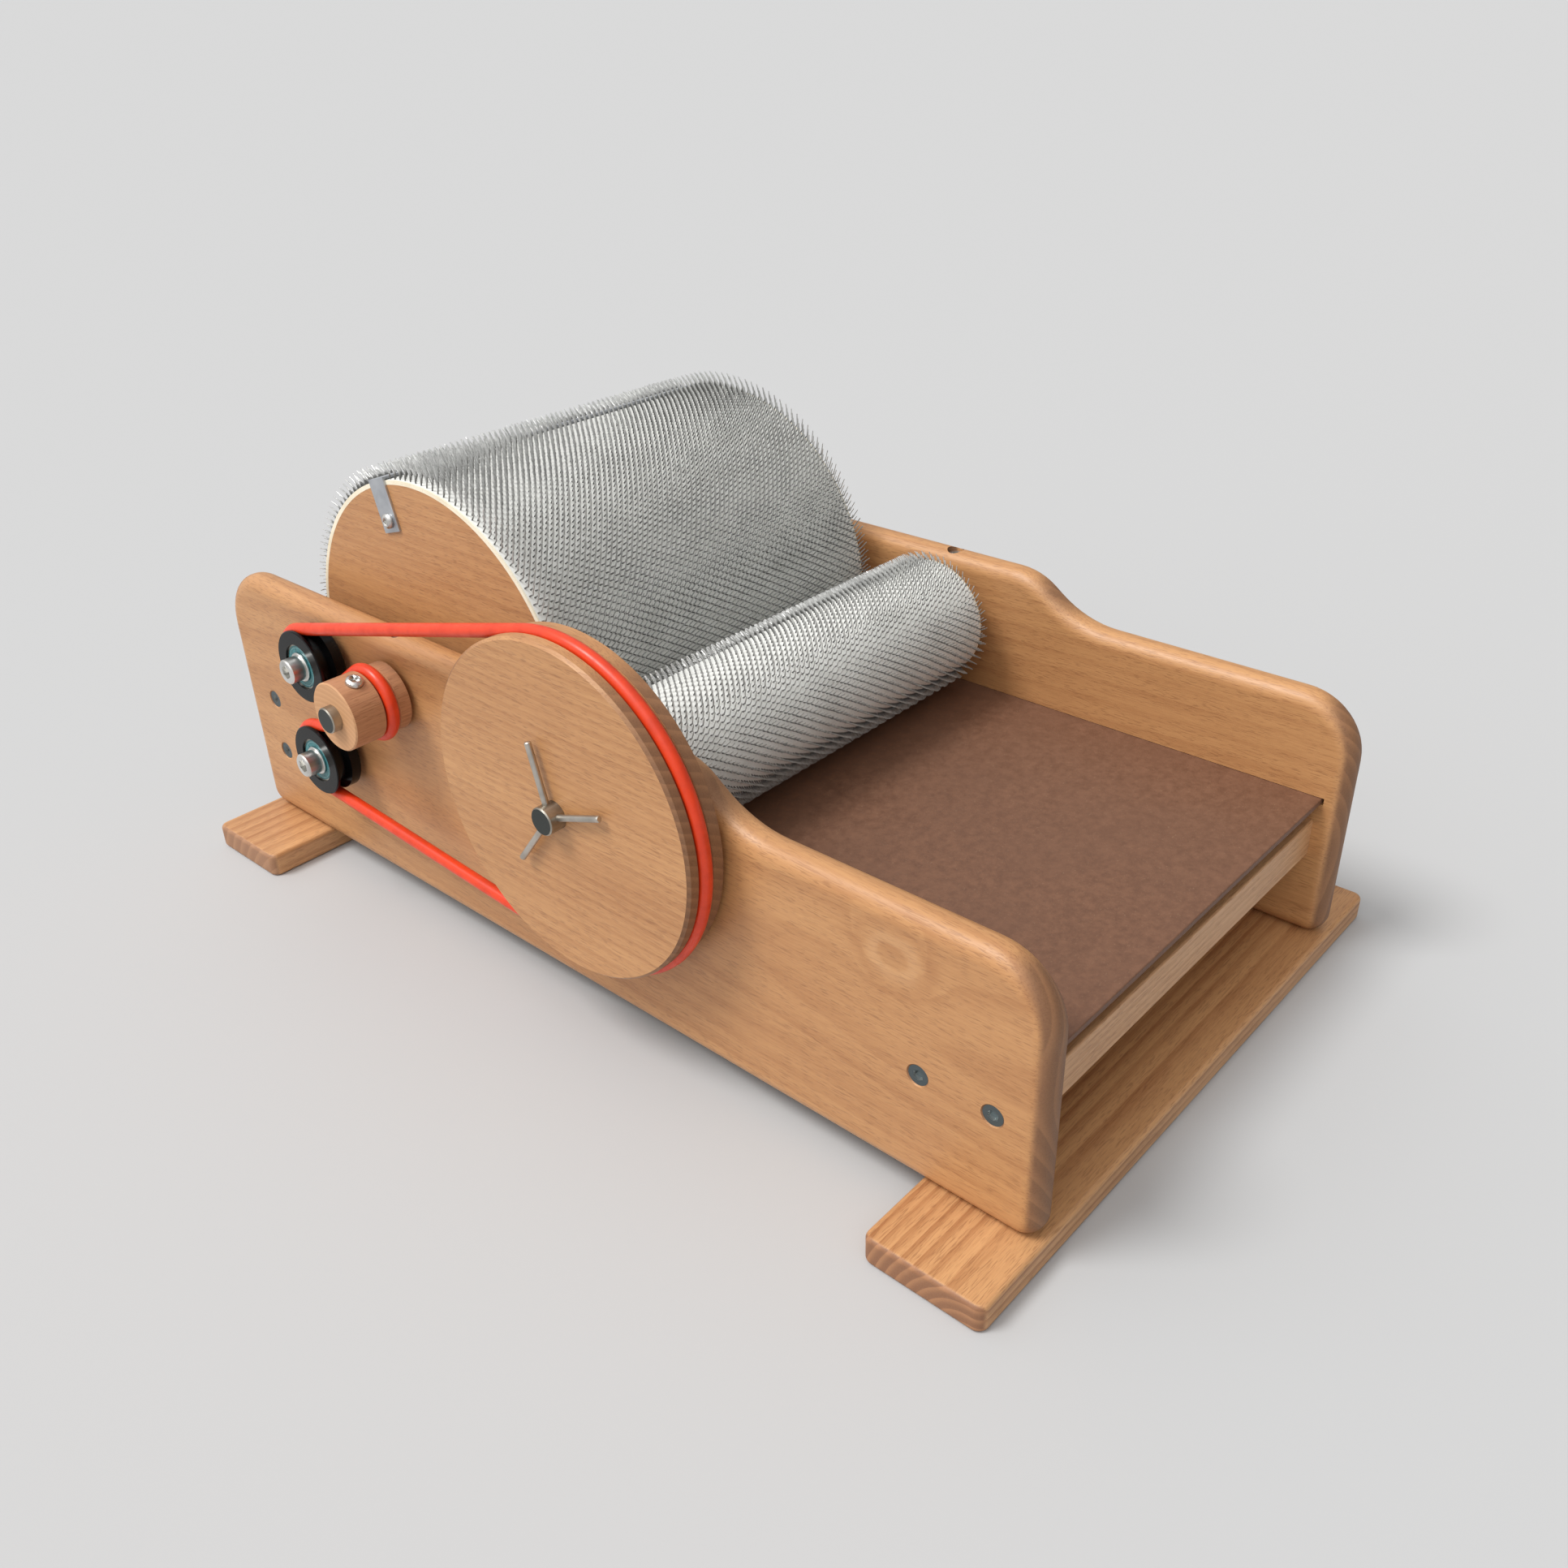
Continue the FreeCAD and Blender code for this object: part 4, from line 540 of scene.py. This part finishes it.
def sealed_bearing(name, axis):
    """A ball bearing's face: a steel outer ring, and a teal rubber seal with a pressed line in it, painted
    lighter as a painted highlight.
    """
    material, tree, shader = new_material(name)
    place = tree.nodes.new("ShaderNodeTexCoord").outputs["Object"]
    centred = centred_on(tree, place, axis)
    reach = from_x_axis(tree, centred)
    grease = noise(tree, place, 500.0, 3.0)
    seal = mix(tree, remap(tree, grease, 0.3, 0.7), (0.016, 0.120, 0.135, 1), (0.040, 0.200, 0.215, 1))
    inner, outer = remap(tree, reach, 8.9 * MM, 9.1 * MM), remap(tree, reach, 9.3 * MM, 9.5 * MM, 1.0, 0.0)
    pressed_line_and_highlight = calc(tree, "MULTIPLY", inner, outer)
    # Painted highlight: the pressed line is painted a lighter teal; its groove is a real bump below.
    seal = mix(tree, calc(tree, "MULTIPLY", pressed_line_and_highlight, 0.7), seal, (0.25, 0.45, 0.46, 1))
    steel = remap(tree, reach, 10.2 * MM, 10.3 * MM)
    tree.links.new(mix(tree, steel, seal, STEEL), shader.inputs["Base Color"])
    tree.links.new(steel, shader.inputs["Metallic"])
    tree.links.new(remap(tree, grease, 0.2, 0.8, 0.22, 0.42), shader.inputs["Roughness"])
    groove = calc(tree, "SUBTRACT", calc(tree, "MULTIPLY", grease, 0.15), pressed_line_and_highlight)
    bump = add(tree, "ShaderNodeBump", {"Strength": 0.6, "Distance": 0.0003, "Height": groove})
    tree.links.new(bump.outputs[0], shader.inputs["Normal"])
    return material


for name in ("upper_idler", "lower_idler"):
    middle = turned_size(name + "_pulley")[0]
    dress(black_plastic("plastic_" + name, middle), name + "_pulley")
    dress(sealed_bearing("bearing_" + name, middle), name + "_bearing")
dress(metal("bearing_steel", STEEL, STEEL_DULL, 0.24), "idler_inner_rings")

# %% [markdown]
# Two kinds of screw are seen close: the one that locks the small pulley and the two in the seam strip.
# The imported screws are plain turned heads, so a merged copy of each gets its recess: a cross for
# the pan head, and six-sided sockets for the others, cut out with the Boolean modifier.


# %% Recessed screw heads
def merged_copy(node, name):
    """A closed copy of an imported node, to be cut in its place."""
    bpy.ops.object.select_all(action="DESELECT")
    mesh = nodes[node].data.copy()
    mesh.transform(nodes[node].matrix_world)
    copy = bpy.data.objects.new(name, mesh)
    bpy.context.scene.collection.objects.link(copy)
    only(copy)
    bpy.ops.object.mode_set(mode="EDIT")
    bpy.ops.mesh.select_all(action="SELECT")
    bpy.ops.mesh.remove_doubles(threshold=0.000001)
    bpy.ops.mesh.normals_make_consistent(inside=False)
    bpy.ops.object.mode_set(mode="OBJECT")
    return copy


def only(thing):
    bpy.ops.object.select_all(action="DESELECT")
    thing.select_set(True)
    bpy.context.view_layer.objects.active = thing


def cut_away(thing, cutter):
    cut = thing.modifiers.new("cut", "BOOLEAN")
    cut.operation = "DIFFERENCE"
    cut.object = cutter
    only(thing)
    bpy.ops.object.modifier_apply(modifier=cut.name)
    bpy.data.objects.remove(cutter)


pan_head = merged_copy("small_pulley_screw", "pan_head_screw")
SET_SCREW_LEAN, SET_SCREW_REACH = math.radians(20), 18.25 * MM
low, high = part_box("small_pulley_screw")
head_top = Vector(((low[0] + high[0]) / 2, drum_axis[0] - SET_SCREW_REACH * math.sin(SET_SCREW_LEAN),
                   drum_axis[1] + SET_SCREW_REACH * math.cos(SET_SCREW_LEAN)))
CROSS_LONG, CROSS_WIDE, CROSS_DEEP = 4.4 * MM, 1.1 * MM, 2.4 * MM
for length, width in ((CROSS_LONG, CROSS_WIDE), (CROSS_WIDE, CROSS_LONG)):
    bpy.ops.object.select_all(action="DESELECT")
    bpy.ops.mesh.primitive_cube_add(size=1, location=head_top, rotation=(SET_SCREW_LEAN, 0, 0),
                                    scale=(length, width, CROSS_DEEP))
    cut_away(pan_head, bpy.context.object)
strip_heads = merged_copy("seam_strip_screws", "seam_strip_screw_heads")
strip_low, strip_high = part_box("seam_strip_screws")
for face in (strip_low[0], strip_high[0]):
    bpy.ops.object.select_all(action="DESELECT")
    middle = (face, (strip_low[1] + strip_high[1]) / 2, (strip_low[2] + strip_high[2]) / 2)
    bpy.ops.mesh.primitive_cylinder_add(vertices=6, radius=1.7 * MM, depth=2.2 * MM, location=middle,
                                        rotation=(0, math.pi / 2, 0))
    cut_away(strip_heads, bpy.context.object)
for piece, node in ((pan_head, "small_pulley_screw"), (strip_heads, "seam_strip_screws")):
    piece.data.materials.clear()
    piece.data.materials.append(zinc)
    only(piece)
    bpy.ops.object.shade_smooth_by_angle(angle=math.radians(35))
    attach(piece, "main_drum")
    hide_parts(node)
print("cut recesses in", len(pan_head.data.polygons) + len(strip_heads.data.polygons), "faces of screw heads")

# %% [markdown]
# Card cloth is layers of cotton with a rubber face that the wires are pushed through. The face is
# nearly white, and the cut edge that shows all round the drum's ends is creamier.

# %% Card cloth
cloth, tree, shader = new_material("card_cloth")
place = tree.nodes.new("ShaderNodeTexCoord").outputs["Object"]
grime = noise(tree, place, 55.0, 4.0, 0.6)
threads = noise(tree, place, 1400.0, 2.0)
sideways = calc(tree, "ABSOLUTE", add(tree, "ShaderNodeSeparateXYZ", {0: place}).outputs["X"])
edge = remap(tree, sideways, drum_ends[1] - 1.2 * MM, drum_ends[1] - 0.3 * MM)
face = mix(tree, remap(tree, grime, 0.4, 0.8), (0.920, 0.920, 0.880, 1), (0.780, 0.780, 0.740, 1))
rim = mix(tree, remap(tree, grime, 0.4, 0.8), (0.930, 0.860, 0.680, 1), (0.800, 0.700, 0.500, 1))
colour = mix(tree, edge, face, rim)
tree.links.new(mix(tree, remap(tree, threads, 0.5, 0.75, 0.0, 0.3), colour, (0.60, 0.56, 0.46, 1)),
               shader.inputs["Base Color"])
tree.links.new(remap(tree, threads, 0.3, 0.7, 0.70, 0.90), shader.inputs["Roughness"])
bump = add(tree, "ShaderNodeBump", {"Strength": 0.3, "Distance": 0.0003, "Height": threads})
tree.links.new(bump.outputs[0], shader.inputs["Normal"])
dress(cloth, "main_drum_foundation", "licker_in_foundation")

# %% [markdown]
# Down between the wires hardly any light falls, so the wire is painted darker towards its
# root: painted shade. The distance from the axle gives how far up a wire a point is.

# %% Wire material
def wire_steel(name, axis, skin, tips):
    material, tree, shader = new_material(name)
    place = tree.nodes.new("ShaderNodeTexCoord").outputs["Object"]
    centred = centred_on(tree, place, axis)
    reach = from_x_axis(tree, centred)
    # Painted shade: the colour runs from the dark root shade up to bright steel with the height above the
    # cloth.
    above_root_shade = remap(tree, reach, skin + (tips - skin) * 0.10, skin + (tips - skin) * 0.60)
    tarnish = noise(tree, place, 70.0, 3.0, 0.6)
    each = noise(tree, place, 900.0, 1.0)
    bright = mix(tree, remap(tree, tarnish, 0.3, 0.75), WIRE_BRIGHT, WIRE_DULL)
    bright = mix(tree, remap(tree, each, 0.4, 0.8, 0.0, 0.5), bright, (0.20, 0.20, 0.19, 1))
    tree.links.new(mix(tree, above_root_shade, WIRE_ROOT_SHADE, bright), shader.inputs["Base Color"])
    shader.inputs["Metallic"].default_value = 0.55
    tree.links.new(remap(tree, each, 0.3, 0.7, 0.32, 0.50), shader.inputs["Roughness"])
    return material


# The last colour is the painted shade at the wires' roots.
WIRE_BRIGHT, WIRE_DULL, WIRE_ROOT_SHADE = (0.72, 0.72, 0.70, 1), (0.50, 0.50, 0.49, 1), (0.120, 0.120, 0.116, 1)
drum_wire = wire_steel("drum_wire", drum_axis, drum_skin, drum_tips)
licker_wire = wire_steel("licker_wire", licker_axis, licker_skin, licker_tips)


# %% [markdown]
# The teeth are the heart of a carder. Each is a stub of steel wire that stands up out of the cloth,
# leans back a little, and bends forward at a knee. The wires are set in a twill: every column along
# the drum stands a third of a step further round than the one before, so three columns make one
# repeat. A six-sided face is extruded three times for one wire, and the other two are copied from it.
# Array modifiers repeat the three along the drum and, by an empty turned about the axle, round it. A
# Displace modifier with a fine cloud nudges each wire. Sectors keep each piece light.


# %% Teeth helpers
def about_axle(axis, angle):
    """A turn about an X axis that passes through (y, z)."""
    centre = Vector((0.0, axis[0], axis[1]))
    return Matrix.Translation(centre) @ Matrix.Rotation(angle, 4, "X") @ Matrix.Translation(-centre)


# Each part of a bent wire: its step forward in leans, its step up in rises, and its taper.
BENDS = ((-0.20, 0.42, 1.0), (0.55, 0.26, 0.95), (0.65, 0.32, 0.80))
SUNK, BORDER, TIP_ROOM, NUDGE = 0.6 * MM, 1.7 * MM, 0.3 * MM, 0.7 * MM


def one_tooth(base, rise, lean, thick):
    """A bent wire on the top of a drum: it leans back to its knee, and above it towards +Y."""
    bpy.ops.object.select_all(action="DESELECT")
    bpy.ops.mesh.primitive_circle_add(vertices=6, radius=thick / 2, fill_type="NGON", location=base)
    tooth = bpy.context.object
    bpy.ops.object.transform_apply(location=True, rotation=False, scale=False)
    bpy.ops.object.mode_set(mode="EDIT")
    bpy.ops.mesh.select_all(action="SELECT")
    for forward, up, taper in BENDS:
        bpy.ops.mesh.extrude_region_move(TRANSFORM_OT_translate={"value": (0, lean * forward, rise * up)})
        bpy.ops.transform.resize(value=(taper, taper, taper))
    bpy.ops.mesh.select_all(action="SELECT")
    bpy.ops.mesh.normals_make_consistent(inside=False)
    bpy.ops.object.mode_set(mode="OBJECT")
    return tooth


def twill(tooth, axis, turn, shift):
    """Add the two wires beside the first, each a third of a step further round."""
    copies = []
    for count in (1, 2):
        only(tooth)
        bpy.ops.object.duplicate()
        move = Matrix.Translation((shift * count, 0, 0)) @ about_axle(axis, turn * count)
        bpy.context.object.data.transform(move)
        copies.append(bpy.context.object)
    only(tooth)
    for copy in copies:
        copy.select_set(True)
    bpy.ops.object.join()


def repeat(piece, count, step=None, turner=None):
    """Repeat a piece by an Array modifier, by a step along X or by an empty's turn, and apply it."""
    array = piece.modifiers.new("row", "ARRAY")
    array.count = count
    array.use_relative_offset = False
    if turner is None:
        array.use_constant_offset = True
        array.constant_offset_displace = (step, 0, 0)
    else:
        array.use_object_offset = True
        array.offset_object = turner
    only(piece)
    bpy.ops.object.modifier_apply(modifier=array.name)


uneven = bpy.data.textures.new("uneven_wires", "CLOUDS")
uneven.noise_scale = 0.0022
uneven.cloud_type = "COLOR"


def tooth_field(name, body, node, axis, skin, tips, ends, lean, thick, sectors, start, sweep, material):
    """Fill the sleeve between skin and tips with wires in a twill, in sectors."""
    rise = tips - skin + SUNK - TIP_ROOM
    width = ends[1] - ends[0] - 2 * BORDER
    triples = round(width / TWILL_ALONG / 3)
    shift = width / (3 * triples - 1)
    rows = round(sweep * (tips - 2 * MM) / TWILL_ROUND)
    angle = sweep / rows
    turner = bpy.data.objects.new("turner", None)
    bpy.context.scene.collection.objects.link(turner)
    turner.matrix_world = about_axle(axis, angle)
    bpy.context.view_layer.update()
    done = triangles = 0
    for sector in range(sectors):
        count = rows * (sector + 1) // sectors - done
        field = one_tooth((ends[0] + BORDER, axis[0], axis[1] + skin - SUNK), rise, lean, thick)
        twill(field, axis, angle / 3, shift)
        repeat(field, triples, step=3 * shift)
        field.data.transform(about_axle(axis, start + (done + 0.17) * angle))
        repeat(field, count, turner=turner)
        nudge = field.modifiers.new("nudge", "DISPLACE")
        nudge.texture = uneven
        nudge.texture_coords = "LOCAL"
        nudge.direction = "RGB_TO_XYZ"
        nudge.strength = NUDGE
        only(field)
        bpy.ops.object.modifier_apply(modifier=nudge.name)
        field.name = "%s_%d" % (name, sector + 1)
        field.data.materials.append(material)
        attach(field, body)
        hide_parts(node)
        triangles += sum(len(face.vertices) - 2 for face in field.data.polygons)
        done += count
    bpy.data.objects.remove(turner)
    print(name, rows, "rows of", 3 * triples, "wires,", triangles, "triangles")


# %% [markdown]
# Both rollers wear the same cloth: columns about 2 mm apart, and 4 mm from wire to wire round the
# roller. On the drum a bare strip is left under the steel seam. The licker-in's wires are shorter.

# %% Teeth of the drum and of the licker-in
TWILL_ALONG, TWILL_ROUND = 2.02 * MM, 4.07 * MM
SEAM_ANGLE = math.radians(-16.5)
SEAM_GAP = math.radians(9.0)
tooth_field("drum_teeth", "main_drum", "main_drum_teeth", drum_axis, drum_skin, drum_tips, drum_ends,
            2.4 * MM, 0.66 * MM, 4, SEAM_ANGLE + SEAM_GAP / 2, 2 * math.pi - SEAM_GAP, drum_wire)
tooth_field("licker_teeth", "licker_in", "licker_in_teeth", licker_axis, licker_skin, licker_tips, licker_ends,
            1.4 * MM, 0.62 * MM, 2, 0.0, 2 * math.pi, licker_wire)
